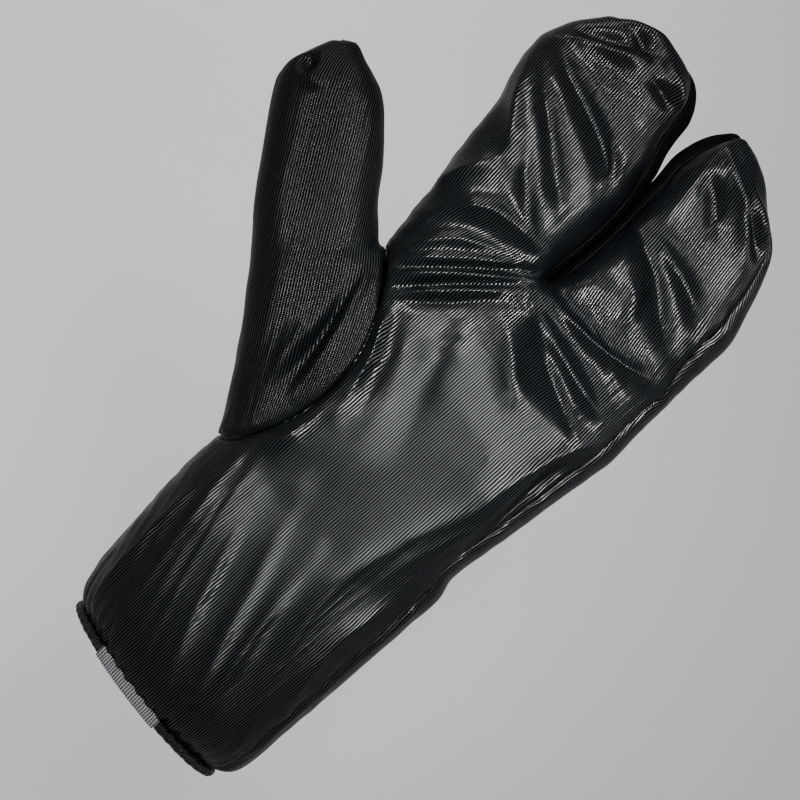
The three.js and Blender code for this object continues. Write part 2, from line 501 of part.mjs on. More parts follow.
// A panel's corner points, faces and open edges, its normals, and at each edge point the way into it.
function trace(panel) {
  const ids = new Map();
  const points = [];
  const faces = [];
  for (const corners of panel) {
    const [a, b, c, d] = corners.map((p) => {
      const key = keyOf(p);
      if (!ids.has(key)) {
        ids.set(key, points.length);
        points.push(new THREE.Vector3(...p));
      }
      return ids.get(key);
    });
    const split = points[a].distanceTo(points[c]) <= points[b].distanceTo(points[d]);
    for (const face of split ? [[a, b, c], [a, c, d]] : [[a, b, d], [b, c, d]])
      if (new Set(face).size === 3) faces.push(face);
  }
  const edges = new Map();
  const inwards = points.map(() => new THREE.Vector3());
  const normals = points.map(() => new THREE.Vector3());
  for (const face of faces) {
    const [a, b, c] = face.map((id) => points[id]);
    const middle = a.clone().add(b).add(c).divideScalar(3);
    const normal = b.clone().sub(a).cross(c.clone().sub(a));
    for (const id of face) {
      inwards[id].add(middle).sub(points[id]);
      normals[id].add(normal);
    }
    for (let k = 0; k < 3; k++) {
      const [from, to] = [face[k], face[(k + 1) % 3]];
      if (!edges.delete(`${to},${from}`)) edges.set(`${from},${to}`, [from, to]);
    }
  }
  const border = new Map();
  for (const [from, to] of edges.values()) {
    border.set(from, { ...border.get(from), after: to });
    border.set(to, { ...border.get(to), before: from });
  }
  const ways = new Map();
  for (const [id, { before, after }] of border) {
    const along = points[after].clone().sub(points[before]).normalize();
    ways.set(id, inwards[id].addScaledVector(along, -inwards[id].dot(along)).normalize());
  }
  for (const normal of normals) normal.normalize();
  return { keys: [...ids.keys()], points, faces, edges: [...edges.values()], normals, ways };
}

// A traced panel as a closed sheet of cloth: its outer face, an inner face CLOTH further in, and its
// edges, trimmed back from the seams. At a seam it goes away from the panels that it meets there and
// takes the mean of their normals. "met" has a row for each panel at each seam point.
function clothSolid({ keys, points, faces, edges, normals, ways }, met) {
  const outer = points.map((point, id) => {
    if (!ways.has(id)) return point;
    const own = ways.get(id);
    const others = met.get(keys[id]).filter(({ way }) => way !== own);
    const away = own.clone().multiplyScalar(Math.max(1, others.length));
    for (const { way } of others) away.sub(way);
    return point.clone().addScaledVector(away.normalize(), SEAM_GAP / 2);
  });
  const inner = outer.map((point, id) => {
    const normal = new THREE.Vector3();
    if (ways.has(id)) for (const other of met.get(keys[id])) normal.add(other.normal);
    else normal.copy(normals[id]);
    return point.clone().addScaledVector(normal.normalize(), -CLOTH);
  });
  const count = outer.length;
  const triangles = faces.flatMap(([a, b, c]) => [[a, b, c], [count + c, count + b, count + a]]);
  for (const [a, b] of edges) triangles.push([b, a, count + a], [b, count + a, count + b]);
  return solid([...outer, ...inner], triangles);
}

function solid(points, triangles) {
  const geometry = new THREE.BufferGeometry().setFromPoints(points);
  geometry.setIndex(triangles.flat());
  geometry.computeVertexNormals();
  return geometry;
}

// A ring or arc swept round the mouth: section(angle, share) gives [out, up] points in millimetres.
function mouthSweep(from, to, steps, section) {
  const points = [];
  const closedSection = section(from, 0).length;
  for (let i = 0; i <= steps; i++) {
    const angle = mix(from, to, i / steps);
    const middle = mouthPoint(angle);
    const out = mouthOut(angle);
    for (const [o, up] of section(angle, i / steps))
      points.push(new THREE.Vector3(middle[0] + out[0] * o, middle[1] + out[1] * o, middle[2] + up));
  }
  const triangles = [];
  for (let i = 0; i < steps; i++)
    for (let k = 0; k < closedSection; k++) {
      const next = (k + 1) % closedSection;
      const [a, b] = [i * closedSection + k, i * closedSection + next];
      triangles.push([a, b, b + closedSection], [a, b + closedSection, a + closedSection]);
    }
  for (let k = 1; k < closedSection - 1; k++) {
    const end = steps * closedSection;
    triangles.push([0, k + 1, k], [end, end + k, end + k + 1]);
  }
  return solid(points, triangles);
}
const MOUTH_HALF = [(HEM_WIDTH - HEM_ROLL) / 2, (HEM_DEPTH - HEM_ROLL) / 2];
function mouthPoint(angle) {
  const x = MOUTH_HALF[0] * Math.cos(angle);
  return [x, MOUTH_HALF[1] * Math.sin(angle), -HEM_SLOPE * x];
}
function mouthOut(angle) {
  const out = [Math.cos(angle) / MOUTH_HALF[0], Math.sin(angle) / MOUTH_HALF[1]];
  const length = Math.hypot(...out);
  return [out[0] / length, out[1] / length];
}
// The angle that an arc of a given length reaches, going round the mouth from a start.
function mouthReach(start, length) {
  const step = 0.002; // radians
  let angle = start;
  for (let run = 0; run < length; angle += step)
    run += step * Math.hypot(MOUTH_HALF[0] * Math.sin(angle), MOUTH_HALF[1] * Math.cos(angle));
  return angle;
}
const ELASTIC_END = mouthReach(ELASTIC_START, ELASTIC_LENGTH);

// The gathered hem, a roll all round the mouth but for the stretch where the elastic is bare.
function hemCasing() {
  const from = mouthReach(ELASTIC_END, SEAM_GAP);
  const to = ELASTIC_START + 2 * Math.PI;
  const gathers = Math.round((HEM_GATHERS * (to - from)) / (2 * Math.PI));
  return mouthSweep(from, to, gathers * 2, (angle, share) => {
    const crest = Math.cos(2 * Math.PI * gathers * share);
    const radius = (HEM_ROLL / 2) * (1 - GATHER_DEPTH * (1 - crest) * 0.5);
    return spread(0, 2 * Math.PI, CASING_SIDES).slice(0, CASING_SIDES)
      .map((turn) => [radius * Math.cos(-turn), radius * Math.sin(-turn)]);
  });
}

// The bare stretch of elastic, a flat band with its face outwards.
function hemElastic() {
  const top = HEM_ROLL / 2;
  const low = top - ELASTIC_WIDTH;
  const half = ELASTIC_THICK / 2;
  return mouthSweep(ELASTIC_START, ELASTIC_END, ELASTIC_STEPS, () => [
    [half, top], [half, low], [-half, low], [-half, top],
  ]);
}

const SHELL = { color: 0x1b1d20, roughness: 0.5, metalness: 0 };
const THUMB_SHELL = { color: 0x191b1e, roughness: 0.56, metalness: 0 };
const SIDE_SHELL = { color: 0x111315, roughness: 0.65, metalness: 0 };
const ELASTIC = { color: 0x8b8e93, roughness: 0.6, metalness: 0 };

const PANELS = {
  palm_panel: [handPanel(false), SHELL],
  back_panel: [handPanel(true), SHELL],
  finger_gusset: [gussetPanel(), SIDE_SHELL],
  thumb_front: [thumbPanel(false), THUMB_SHELL],
  thumb_back: [thumbPanel(true), THUMB_SHELL],
};

const mitt = new THREE.Group();
function add(name, geometry, look) {
  const mesh = new THREE.Mesh(geometry, new THREE.MeshStandardMaterial(look));
  mesh.name = name;
  mitt.add(mesh);
}
const traced = new Map();
const met = new Map();
for (const [name, [panel]] of Object.entries(PANELS)) {
  const one = trace(panel);
  traced.set(name, one);
  for (const [id, way] of one.ways) {
    const key = one.keys[id];
    met.set(key, [...(met.get(key) ?? []), { way, normal: one.normals[id] }]);
  }
}
for (const [name, [, look]] of Object.entries(PANELS)) add(name, clothSolid(traced.get(name), met), look);
add("hem_casing", hemCasing(), SHELL);
add("hem_elastic", hemElastic(), ELASTIC);

export default mitt;
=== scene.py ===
"""A left-hand lobster claw mitt of thin ribbed nylon, seen from its palm side.

Shapes are worked out in millimetres in the frame's own axes: +Z from the cuff mouth to the
fingertips, the palm towards -Y and the thumb at -X. Only mesh data, the lights and the stage are in metres.
"""

import math
from collections import namedtuple
from itertools import product

import bpy
import numpy as np
from mathutils import Matrix, kdtree


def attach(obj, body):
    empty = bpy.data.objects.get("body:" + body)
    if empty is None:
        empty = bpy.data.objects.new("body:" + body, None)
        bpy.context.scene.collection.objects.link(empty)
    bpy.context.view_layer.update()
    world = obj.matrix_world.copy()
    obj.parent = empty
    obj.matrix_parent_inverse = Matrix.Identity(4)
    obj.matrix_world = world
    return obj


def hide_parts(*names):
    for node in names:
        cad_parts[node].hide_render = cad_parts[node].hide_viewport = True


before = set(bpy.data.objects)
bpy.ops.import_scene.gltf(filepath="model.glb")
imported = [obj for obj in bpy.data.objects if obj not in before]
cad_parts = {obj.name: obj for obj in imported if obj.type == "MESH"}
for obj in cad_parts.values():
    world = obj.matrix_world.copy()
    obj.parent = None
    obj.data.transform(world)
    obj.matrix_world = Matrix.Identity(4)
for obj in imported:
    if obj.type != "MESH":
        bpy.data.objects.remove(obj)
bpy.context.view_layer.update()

MM = 0.001

# Camera: it faces the palm, rolled so that the hand points to the upper right
FRAME_CENTRE = (-8.5, 0.0, 135.8)
FRAME_WIDTH = 284.0
LENS = 85.0
SENSOR = 36.0
NEAREST = 0.01
CAMERA_RIGHT = np.array([1, 0, 1]) / math.sqrt(2)
CAMERA_UP = np.array([-1, 0, 1]) / math.sqrt(2)
CAMERA_BACK = np.array([0, -1, 0])

# Palm and cuff
FIRST_ALONG = 0.008
PALM_LENGTH = 200.0
PALM_WIDTH = 100.0
PALM_DEPTH = 45.0
PALM_FULLNESS = 2.4
SIDE_SEAM_ANGLE = 0.48
HEM_WIDTH = 77.0
HEM_DEPTH = 56.0
HEM_SLOPE = 0.125

# Finger lobes
FORK_ACROSS = -1.8
LOBE_MIDDLE = 0.45
LOBE_DEPTH = 32.0
LOBE_FULLNESS = 2.3
LOBE_GAP = 4.2
LOBE_SPREAD = 5.2
FORK_BOW = 3.2
BOW_REACH = 0.75
SPREAD_START = 0.35
GUSSET_PRESS = 0.8
GUSSET_ANGLE = 0.42
FINGER_CURL = 9.0
CURL_START = 0.7

# Thumb
THUMB_BOTTOM = 82.0
THUMB_TOP = 167.0
THUMB_LENGTH = 144.0
THUMB_WIDTH = 45.0
THUMB_DEPTH = 31.0
THUMB_ANGLE = 0.64
THUMB_FORWARD = 8.0
THUMB_HOLE_FRONT = 0.98
THUMB_HOLE_BACK = 0.72
THUMB_HOLE_SHAPE = 0.35
GENTLE_SHAPE = 1.3
WEB_POWER = 5
CROTCH_ROW = 2

# How the palm changes on its way up, as shares of its length: where its sections are full, where the
# hem's slope ends, where the side seam starts to turn and where the palm starts to part into lobes.
# PINCH_POWER is how late the parting comes, HOLE_EASE how far across the thumb hole bends columns.
FULL_ALONG = 0.08
SLOPE_END = 0.4
SEAM_TURN = 0.5
PINCH_START = 0.72
PINCH_POWER = 2.4
HOLE_EASE = 0.85

# Hem and elastic
HEM_ROLL = 3.8
HEM_APART = 0.4
ELASTIC_WIDTH = 4.3
ELASTIC_THICK = 1.4
ELASTIC_CORNER = 0.3
ELASTIC_START = 4.12
ELASTIC_LENGTH = 32.0
ELASTIC_WAVES = 9
ELASTIC_WAVE_HIGH = 0.15

# Angles of a section's thumb side and of its other side, and the way up
LEFT = math.pi
RIGHT = 2 * math.pi
UP = np.array([0.0, 0.0, 1.0])

# How finely the cloth is divided
CUFF_ROWS = 88
HOLE_ROWS = 104
KNUCKLE_ROWS = 38
LOBE_ROWS = 96
LOBE_COLUMNS = 66
GUSSET_COLUMNS = 20
THUMB_HIGH_ROWS = 120
THUMB_COLUMNS = 58
HOLE_EVEN = 0.25
HEM_STEPS = 1200
HEM_SIDES = 18
ELASTIC_STEPS = 220
MOUTH_STEPS = 4000
WELD = 0.002
RIM_NEAR = 0.01

# Sections of the palm, of the lobes and of the thumb, shares of their lengths, widths and depths
PalmRow = namedtuple("PalmRow", "along hem left right depth")
IndexRow = namedtuple("IndexRow", "outer_along outer inner_along draw depth")
RingRow = namedtuple("RingRow", "outer_along outer inner_along draw depth seam")
ThumbRow = namedtuple("ThumbRow", "left_along left right_along right depth")
PALM_SECTIONS = [
    PalmRow(0.01, 1, -0.475, 0.475, 0.932),
    PalmRow(0.03, 1, -0.525, 0.545, 1.03),
    PalmRow(0.065, 1, -0.55, 0.58, 1.06),
    PalmRow(0.14, 0.5, -0.503, 0.52, 1.14),
    PalmRow(0.23, 0, -0.454, 0.478, 1.2),
    PalmRow(0.33, 0, -0.462, 0.492, 1.12),
    PalmRow(0.41, 0, -0.454, 0.505, 1.06),
    PalmRow(0.48, 0, -0.457, 0.512, 1.03),
    PalmRow(0.52, 0, -0.46, 0.494, 1.02),
    PalmRow(0.6, 0, -0.47, 0.516, 1),
    PalmRow(0.69, 0, -0.485, 0.547, 1),
    PalmRow(0.785, 0, -0.5, 0.577, 0.98),
    PalmRow(0.84, 0, -0.51, 0.6, 0.95),
    PalmRow(0.915, 0, -0.522, 0.597, 0.88),
    PalmRow(1, 0, -0.543, 0.605, 0.75),
]
INDEX_SECTIONS = [
    IndexRow(0, 0.875, 0, 0, 1.05),
    IndexRow(0.133, 0.908, 0.111, 0, 1.05),
    IndexRow(0.248, 0.932, 0.222, 0, 1.03),
    IndexRow(0.389, 0.953, 0.367, 0, 1),
    IndexRow(0.536, 1.02, 0.511, 0, 0.98),
    IndexRow(0.668, 1.038, 0.644, 0.01, 0.97),
    IndexRow(0.75, 0.998, 0.756, 0.04, 0.93),
    IndexRow(0.833, 0.933, 0.85, 0.05, 0.84),
    IndexRow(0.911, 0.833, 0.92, 0.09, 0.68),
    IndexRow(0.967, 0.708, 0.967, 0.16, 0.46),
    IndexRow(0.998, 0.55, 1, 0.27, 0),
]
RING_SECTIONS = [
    RingRow(0, 1.005, 0, 0, 1.05, 1.1),
    RingRow(0.118, 0.992, 0.118, 0, 1.03, 1.4),
    RingRow(0.241, 0.997, 0.235, 0, 1, 1.6),
    RingRow(0.371, 1, 0.376, 0, 0.98, 1.6),
    RingRow(0.506, 0.944, 0.529, 0, 0.96, 1.4),
    RingRow(0.653, 0.871, 0.671, 0.01, 0.93, 1.1),
    RingRow(0.771, 0.774, 0.812, 0.02, 0.86, 0.9),
    RingRow(0.853, 0.629, 0.906, 0.05, 0.74, 0.8),
    RingRow(0.921, 0.516, 0.965, 0.09, 0.58, 0.6),
    RingRow(0.962, 0.419, 0.998, 0.14, 0.4, 0.4),
    RingRow(0.984, 0.331, 1, 0.2, 0, 0),
]
THUMB_SECTIONS = [
    ThumbRow(0, 0, 0.02, 1.04, 1.12),
    ThumbRow(0.243, 0.053, 0.26, 1.1, 1.06),
    ThumbRow(0.43, 0.033, 0.499, 1.036, 1.02),
    ThumbRow(0.576, 0.009, 0.62, 0.984, 1),
    ThumbRow(0.7, 0.02, 0.735, 0.974, 0.98),
    ThumbRow(0.806, 0.033, 0.828, 0.933, 0.95),
    ThumbRow(0.882, 0.058, 0.882, 0.88, 0.88),
    ThumbRow(0.924, 0.129, 0.92, 0.807, 0.75),
    ThumbRow(0.955, 0.267, 0.951, 0.733, 0.56),
    ThumbRow(0.983, 0.422, 0.979, 0.678, 0.34),
    ThumbRow(1, 0.533, 0.997, 0.633, 0),
]
Lobe = namedtuple("Lobe", "side length width lean table")
INDEX_LOBE = Lobe(-1, 90.0, 60.0, 0.1, INDEX_SECTIONS)
RING_LOBE = Lobe(1, 85.0, 62.0, 0.2, RING_SECTIONS)
LAST = len(INDEX_SECTIONS) - 1

# Cloth: its thickness, the shape of its folds, and how it is smoothed where its grids join: around
# a level of the weave, over a reach
CLOTH = 0.6
FOLD_STRENGTH = 2.15
CREST_ROUND = 0.7
CREST_ENDS = 0.2
GROOVE = 1.2
FADE = 0.4
FOLD_REACH = 4
FOLDS_AT_SEAM = 0.15
FACING_SHARP = 1.6
Join = namedtuple("Join", "level reach")
HAND_JOINS = [Join(PALM_LENGTH, 7.0), Join(THUMB_TOP, 3.0), Join(THUMB_BOTTOM, 3.0)]
THUMB_JOINS = [Join(163.0, 5.0), Join(153.0, 5.0)]
JOIN_STRENGTH = 0.8
JOIN_ROUNDS = 40
EVEN_STRENGTH = 0.8
EVEN_ROUNDS = 14
LAST_STRENGTH = 0.5
LAST_ROUNDS = 2

# Seams: the dip, the lip beside it and the puckers
SEAM_LOW = 3.0
SEAM_DEEP = 1.1
SEAM_WIDE = 1.3
SEAM_CLEAR = 5.0
LIP_HIGH = 0.15
LIP_AWAY = 2.4
LIP_WIDE = 1.3
PUCKER_PITCH = 4.2
PUCKER_HIGH = 0.7
PUCKER_REACH = 5.0
PUCKER_START = 0.8
PUCKER_SLANT = 0.6
PUCKER_LONG = 0.12

# Slit: how far the lobes roll off beside it, how wide, and the heights over which that starts
SLIT_DEEP = 4.5
SLIT_WIDE = 4.2
SLIT_BELOW = 3.0
SLIT_RISE = 14.0

# Gathers of the cuff and of the hem roll
GATHERS = 40
GATHER_HIGH = 2.42
GATHER_REACH = 13.0
GATHER_RISE = 3.0
GATHER_WANDER = 2.6
GATHER_SHARP = 0.7
GATHER_UNEVEN = 0.4
GATHER_SCALE = 2.3
GATHER_CLIMB = 0.02
GATHER_UNEVEN_SCALE = 3.1
GATHER_UNEVEN_SHIFT = 4.0
HEM_GATHERS = 46
HEM_WANDER = 1.8
HEM_CREST = 0.07
HEM_UNEVEN = 0.06
HEM_DENT = 0.06
HEM_DENTS = 3
HEM_WANDER_CELLS = 30
HEM_UNEVEN_CELLS = 90

# Noise: values in its table, multipliers that scatter the lattice's cells over it, and seeds. The
# seed of a field of wrinkles is its number, and that of its warp is WARP_SEED more.
NOISE_VALUES = 4096
SCATTER_ACROSS = 73856093
SCATTER_UP = 19349663
WARP_SEED = 50
PUCKER_SEED = 91
GATHER_SEED = 7
GATHER_UNEVEN_SEED = 8
HEM_SEED = 21
HEM_UNEVEN_SEED = 22

# Folds of the palm side: height, half-width, and points (x, z) that each runs through. Below nought
# is a groove.
Fold = namedtuple("Fold", "high wide through")
PALM_FOLDS = [
    # Pleats from the thumb's crotch to the fork
    Fold(1.7, 1.9, [(-48, 163), (-31, 181.8), (-8, 203)]),
    Fold(-1.5, 1.3, [(-45, 165), (-29, 180), (-7, 200)]),
    Fold(2.0, 1.5, [(-44, 160), (-27.4, 178.2), (-5, 198)]),
    Fold(-1.6, 1.3, [(-40, 159), (-25, 176), (-4, 197)]),
    Fold(1.8, 1.5, [(-38, 158), (-23.6, 173.6), (-4, 194)]),
    Fold(-1.1, 1.4, [(-35, 158), (-21.5, 171), (-4, 191)]),
    # Index lobe
    Fold(2.4, 3.2, [(-58.4, 262.1), (-45.9, 256.1), (-30.1, 250.3), (-16.3, 243.6), (-10.6, 236.9)]),
    Fold(2.1, 3, [(-56.1, 253.2), (-45.6, 245.1), (-34.5, 235.7), (-23.1, 226.4), (-15.7, 221.5)]),
    Fold(1.9, 3, [(-60.7, 253.7), (-53.3, 239.5), (-45.8, 228.5), (-42.5, 221.5)]),
    Fold(1.6, 2.4, [(-41.3, 230.9), (-31.4, 220.2), (-21.7, 211.4), (-15.2, 207.6)]),
    Fold(1.4, 3.2, [(-42.5, 221.5), (-47.6, 210.1), (-54.8, 194.7)]),
    Fold(2.1, 2.8, [(-46.6, 188.5), (-40.4, 198.8), (-30.7, 205.5), (-18.3, 206.5), (-10.1, 206.5)]),
    Fold(1.5, 2.2, [(-45.6, 171), (-39.9, 181.8), (-30.7, 191.1), (-9.6, 202.9)]),
    Fold(-1.5, 2, [(-57.7, 267.6), (-47.4, 273.7), (-35.8, 278.6)]),
    Fold(1.4, 2.4, [(-58.2, 262.9), (-49.2, 269.3), (-34.8, 275.5), (-28.1, 281.1)]),
    Fold(1.6, 2.2, [(-50.7, 280.1), (-41.5, 284.2), (-30.7, 287.8), (-18.8, 289.4)]),
    Fold(-1.4, 1.8, [(-42.5, 283.2), (-35.8, 281.7), (-33.7, 277.5)]),
    Fold(-1.6, 1.8, [(-26.5, 275.5), (-17.8, 275), (-12.6, 271.9)]),
    Fold(1.4, 1.6, [(-22.4, 283.7), (-15.2, 279.6), (-10.1, 272.4)]),
    Fold(-1.2, 1.6, [(-21.4, 250.8), (-13.2, 244.6), (-8.5, 234.8)]),
    # From the fork towards the little finger's side
    Fold(2.3, 3.2, [(-1.1, 194.9), (11, 188.5), (23.4, 184.4), (36.7, 181.3), (46.5, 179.8)]),
    Fold(1.9, 2.8, [(0.1, 191.4), (8.9, 185.8), (19.4, 178.6), (33, 172.9), (45.5, 169.3)]),
    Fold(2, 2.8, [(0.3, 196.8), (13.6, 196.2), (27.5, 196.8), (42.4, 200.4), (49.6, 201.4)]),
    Fold(-1.2, 2.4, [(16.2, 224.5), (23.6, 219.6), (27.5, 211.2), (25.4, 202.9)]),
    Fold(0.7, 6, [(3.8, 201.9), (10, 210.1), (18.2, 214.3)]),
    # Ring lobe
    Fold(2.4, 3.2, [(1.2, 239.5), (11.5, 234.3), (23.6, 227.8), (34.9, 218.6), (46.5, 211.7)]),
    Fold(1.9, 2.8, [(10, 239), (23.4, 235.9), (37.3, 231.2), (47.6, 223)]),
    Fold(-1.4, 2.4, [(10.5, 268.3), (20.8, 260), (28.5, 249.2)]),
    Fold(1.5, 2.2, [(9.5, 277.5), (21.3, 270.9), (32.6, 263.7), (41.4, 253.9)]),
    Fold(1.2, 1.6, [(22.9, 274.5), (35.2, 268.3), (45.5, 262.1)]),
    Fold(-1.1, 1.4, [(25.4, 268.8), (37.8, 262.6), (47.6, 255.9)]),
    Fold(1.3, 2, [(47, 234.8), (50.1, 221.5), (51.2, 210.1)]),
    # Palm and cuff
    Fold(1.5, 4.0, [(58.7, 184), (45.9, 165), (37.9, 142.4), (34.6, 124.7), (27.5, 106)]),
    Fold(1.1, 4.0, [(34.6, 124.7), (27.5, 106), (21.3, 83), (20.5, 70), (25.5, 45), (38, 9)]),
    Fold(1.3, 6.5, [(46, 158), (42, 140), (40, 124), (35, 106), (30, 88)]),
    Fold(-1.5, 2.4, [(56, 174), (48.5, 163), (46.3, 150), (46.3, 136), (44.7, 120), (46, 104)]),
    Fold(-1.3, 5.0, [(-19, 178), (-14.4, 164), (-9, 150), (-3, 132), (2, 112)]),
    Fold(-1.5, 3.6, [(-1.5, 188.2), (6.1, 176.6), (14.9, 167.8), (26.5, 161)]),
    Fold(1.8, 2.8, [(-32.1, 157.4), (-30.4, 148.6), (-25.6, 138.8), (-21.3, 117)]),
    Fold(-1.1, 3.6, [(-30, 160), (-25.5, 147), (-20, 134), (-13.5, 112)]),
    Fold(1.2, 2.4, [(-25, 111), (-27, 98), (-33, 90)]),
    Fold(0.8, 1.8, [(-37, 76), (-37, 42), (-35, 4)]),
    Fold(0.8, 1.8, [(-35, 86), (-28, 44), (-20, 4)]),
    Fold(0.6, 1.6, [(-30, 79), (-23.5, 46), (-13, 4)]),
    Fold(0.8, 1.8, [(-29, 89), (-19, 47), (-7, 4)]),
    Fold(0.6, 1.6, [(-21, 72), (-14, 45), (-1, 4)]),
    Fold(0.8, 1.8, [(-20, 78), (-9.4, 43), (5, 4)]),
    Fold(0.9, 2.0, [(-10, 90), (3.4, 46), (17, 5)]),
    Fold(0.9, 2.0, [(8, 80), (13, 43), (21, 6)]),
    Fold(0.9, 3.0, [(40, 86), (35, 58), (41, 24)]),
]
BACK_FOLDS = [
    Fold(-2.4, 5.0, [(-2, 194), (2, 180), (6, 158), (10, 132)]),
    Fold(1.9, 3.6, [(-46, 180), (-34, 170), (-20, 162), (0, 160)]),
    Fold(-1.3, 3.0, [(-44, 168), (-30, 159), (-14, 152), (2, 150)]),
    Fold(-1.8, 4.0, [(50, 166), (36, 156), (22, 146), (-8, 140)]),
    Fold(1.6, 3.0, [(48, 178), (32, 168), (18, 164)]),
    Fold(1.6, 3.4, [(-30, 88), (-26, 66), (-22, 42), (-20, 16)]),
    Fold(1.2, 2.6, [(-14, 74), (-11, 52), (-8, 34), (-8, 15)]),
    Fold(1.4, 3.2, [(4, 80), (3, 58), (1, 38), (1, 16)]),
    Fold(1.1, 2.6, [(20, 72), (17, 50), (14, 32), (13, 15)]),
    Fold(1.6, 3.4, [(36, 94), (30, 68), (26, 44), (24, 16)]),
    Fold(1.5, 2.8, [(-52, 232), (-38, 226), (-22, 224), (-10, 226)]),
    Fold(-1.3, 2.4, [(-50, 222), (-36, 216), (-20, 214)]),
    Fold(1.4, 2.4, [(-56, 254), (-42, 250), (-26, 252)]),
    Fold(1.5, 2.6, [(52, 226), (38, 220), (22, 218), (10, 220)]),
    Fold(-1.3, 2.4, [(54, 214), (40, 209), (24, 207)]),
    Fold(1.3, 2.4, [(46, 248), (34, 245), (18, 248)]),
]
THUMB_FOLDS = [
    Fold(-2.2, 2.2, [(-38.5, 104), (-42.0, 122), (-44.6, 139.1), (-51.5, 166)]),
    Fold(1.6, 1.6, [(-35.5, 112), (-38.6, 128), (-45.7, 152), (-48.7, 163)]),
    Fold(1.1, 3.0, [(-44, 106), (-48, 122), (-52, 140)]),
    Fold(-0.7, 4.0, [(-72, 144), (-77, 158), (-84, 174)]),
    Fold(-1.5, 2.2, [(-110, 192.5), (-114, 196.5), (-117, 199)]),
    Fold(1.3, 2.4, [(-104, 190), (-108, 193), (-112, 192)]),
    Fold(0.8, 7.0, [(-92, 178), (-76, 156), (-65, 132), (-56, 104)]),
    Fold(1.0, 2.2, [(-60, 96), (-66, 102), (-72, 110)]),
]

# Fine wrinkles: how much of them stays at a seam, how sharply a field ends, how its wrinkles are
# warped and how sharp their crests are
WRINKLES_AT_SEAM = 0.25
WRINKLE_END = 1.2
WARP = 0.3
WARP_ALONG = 2.0
WARP_ACROSS = 0.3
WRINKLE_CREST = 0.7

# Fields of fine wrinkles: where (x, z), how far each reaches, the way its wrinkles run (radians from
# +X to +Z), their pitch, how much longer than wide they are, and their height
Wrinkles = namedtuple("Wrinkles", "x z reach turn pitch stretch high")
WRINKLES = [
    Wrinkles(-24, 184, 26, 0.75, 3.0, 6, 0.55),
    Wrinkles(16, 186, 26, -0.45, 3.4, 5, 0.6),
    Wrinkles(34, 206, 24, -0.4, 4.2, 4, 0.6),
    Wrinkles(-34, 232, 30, -0.7, 4.5, 4, 0.6),
    Wrinkles(-36, 268, 22, -0.2, 4.0, 3, 0.55),
    Wrinkles(26, 258, 26, -0.9, 4.5, 4, 0.45),
    Wrinkles(-26, 44, 44, 1.86, 3.2, 22, 0.42),
    Wrinkles(14, 40, 44, 1.76, 3.4, 22, 0.42),
    Wrinkles(-30, 122, 24, 1.8, 4.0, 6, 0.35),
    Wrinkles(42, 150, 30, 1.25, 5.0, 5, 0.5),
    Wrinkles(-44, 130, 26, 1.85, 3.6, 6, 0.4),
    Wrinkles(-84, 160, 60, 2.2, 8.0, 3, 0.25),
]

# Nylons: colours of a rib's foot and of its crest (painted shade in the grooves, painted sheen on the
# crests), roughness, pitch of the ribs, their turn from the piece's own axis, how far they stand out,
# how much the crests shine and how knotted they are
# Painted shade: the dark colour at the foot of every rib, in the grooves between the ribs
SHADED_RIB_FOOT = (0.0004, 0.00045, 0.0005)
Nylon = namedtuple("Nylon", "foot crest rough pitch turn relief shine knots")
NYLONS = {
    "shell_nylon": Nylon(SHADED_RIB_FOOT, (0.005, 0.0068, 0.0082), 0.29, 0.95, 0.07, 0.4, 0.92, 0.08),
    "thumb_nylon": Nylon(SHADED_RIB_FOOT, (0.004, 0.0055, 0.0068), 0.38, 0.95, 0.1, 0.42, 0.45, 0.3),
    "gusset_nylon": Nylon(SHADED_RIB_FOOT, (0.002, 0.0022, 0.0025), 0.5, 1.0, 0.0, 0.4, 0.1, 0.1),
    "hem_nylon": Nylon(SHADED_RIB_FOOT, (0.02, 0.023, 0.026), 0.4, 0.95, 0.0, 0.5, 0.6, 0.35),
    # The elastic's pale crests are painted sheen on a dark band, and its dark rib feet are painted shade
    "hem_elastic": Nylon((0.01, 0.0105, 0.011), (0.47, 0.48, 0.495), 0.6, 0.98, 0.0, 0.8, 0.4, 0.08),
}

# How the ribs wander, how long a knot is against the ribs' pitch, how far the ribs' height swings,
# how narrow the bright crests are, the streaks' scale across and along, and heights in metres
WANDER_SCALE = 0.12
WANDER = 0.8
KNOT_PITCH = 0.8
RIB_SWING = 0.45
CREST_POWER = 2.0
STREAKS = (0.42, 0.03, 1)
STREAK_HIGH = 0.00035
RIB_HIGH = 0.0004

# Lights: how far each is to the right, up and back from the frame's centre, along the picture's
# axes, its size, its power, what it points at in the same axes, and how wide it throws, in radians.
# Metres and watts.
Lamp = namedtuple("Lamp", "right up back size power aim spread")
LAMPS = {
    "key": Lamp(0.11, 0.1, 0.75, 0.08, 0.37, (0.03, 0.01, 0), 0.55),
    "high": Lamp(0.1, 0.6, 0.35, 0.15, 1.6, (0, 0, 0), math.pi),
    "side": Lamp(0.55, -0.02, 0.36, 0.15, 1.2, (0, 0, 0), math.pi),
    "wall": Lamp(0.0, 0.75, -0.6, 0.5, 9, (0, 0, -1.6), math.pi),
}
SKY = (0.9, 0.93, 1.0, 1)
SKY_POWER = 0.19

# Stage, in metres
STAGE_FLOOR = -0.34
STAGE_FLAT = 1.0
STAGE_BEND = 0.6
STAGE_WALL = 1.2
STAGE_BENDS = 13
STAGE_TURNS = 64
STAGE_COLOUR = (0.8, 0.805, 0.81, 1)
STAGE_ROUGH = 0.9


def mix(a, b, t):
    return a + (b - a) * t


def smooth(t):
    """An even step from 0 to 1."""
    t = np.clip(t, 0, 1)
    return t * t * (3 - 2 * t)


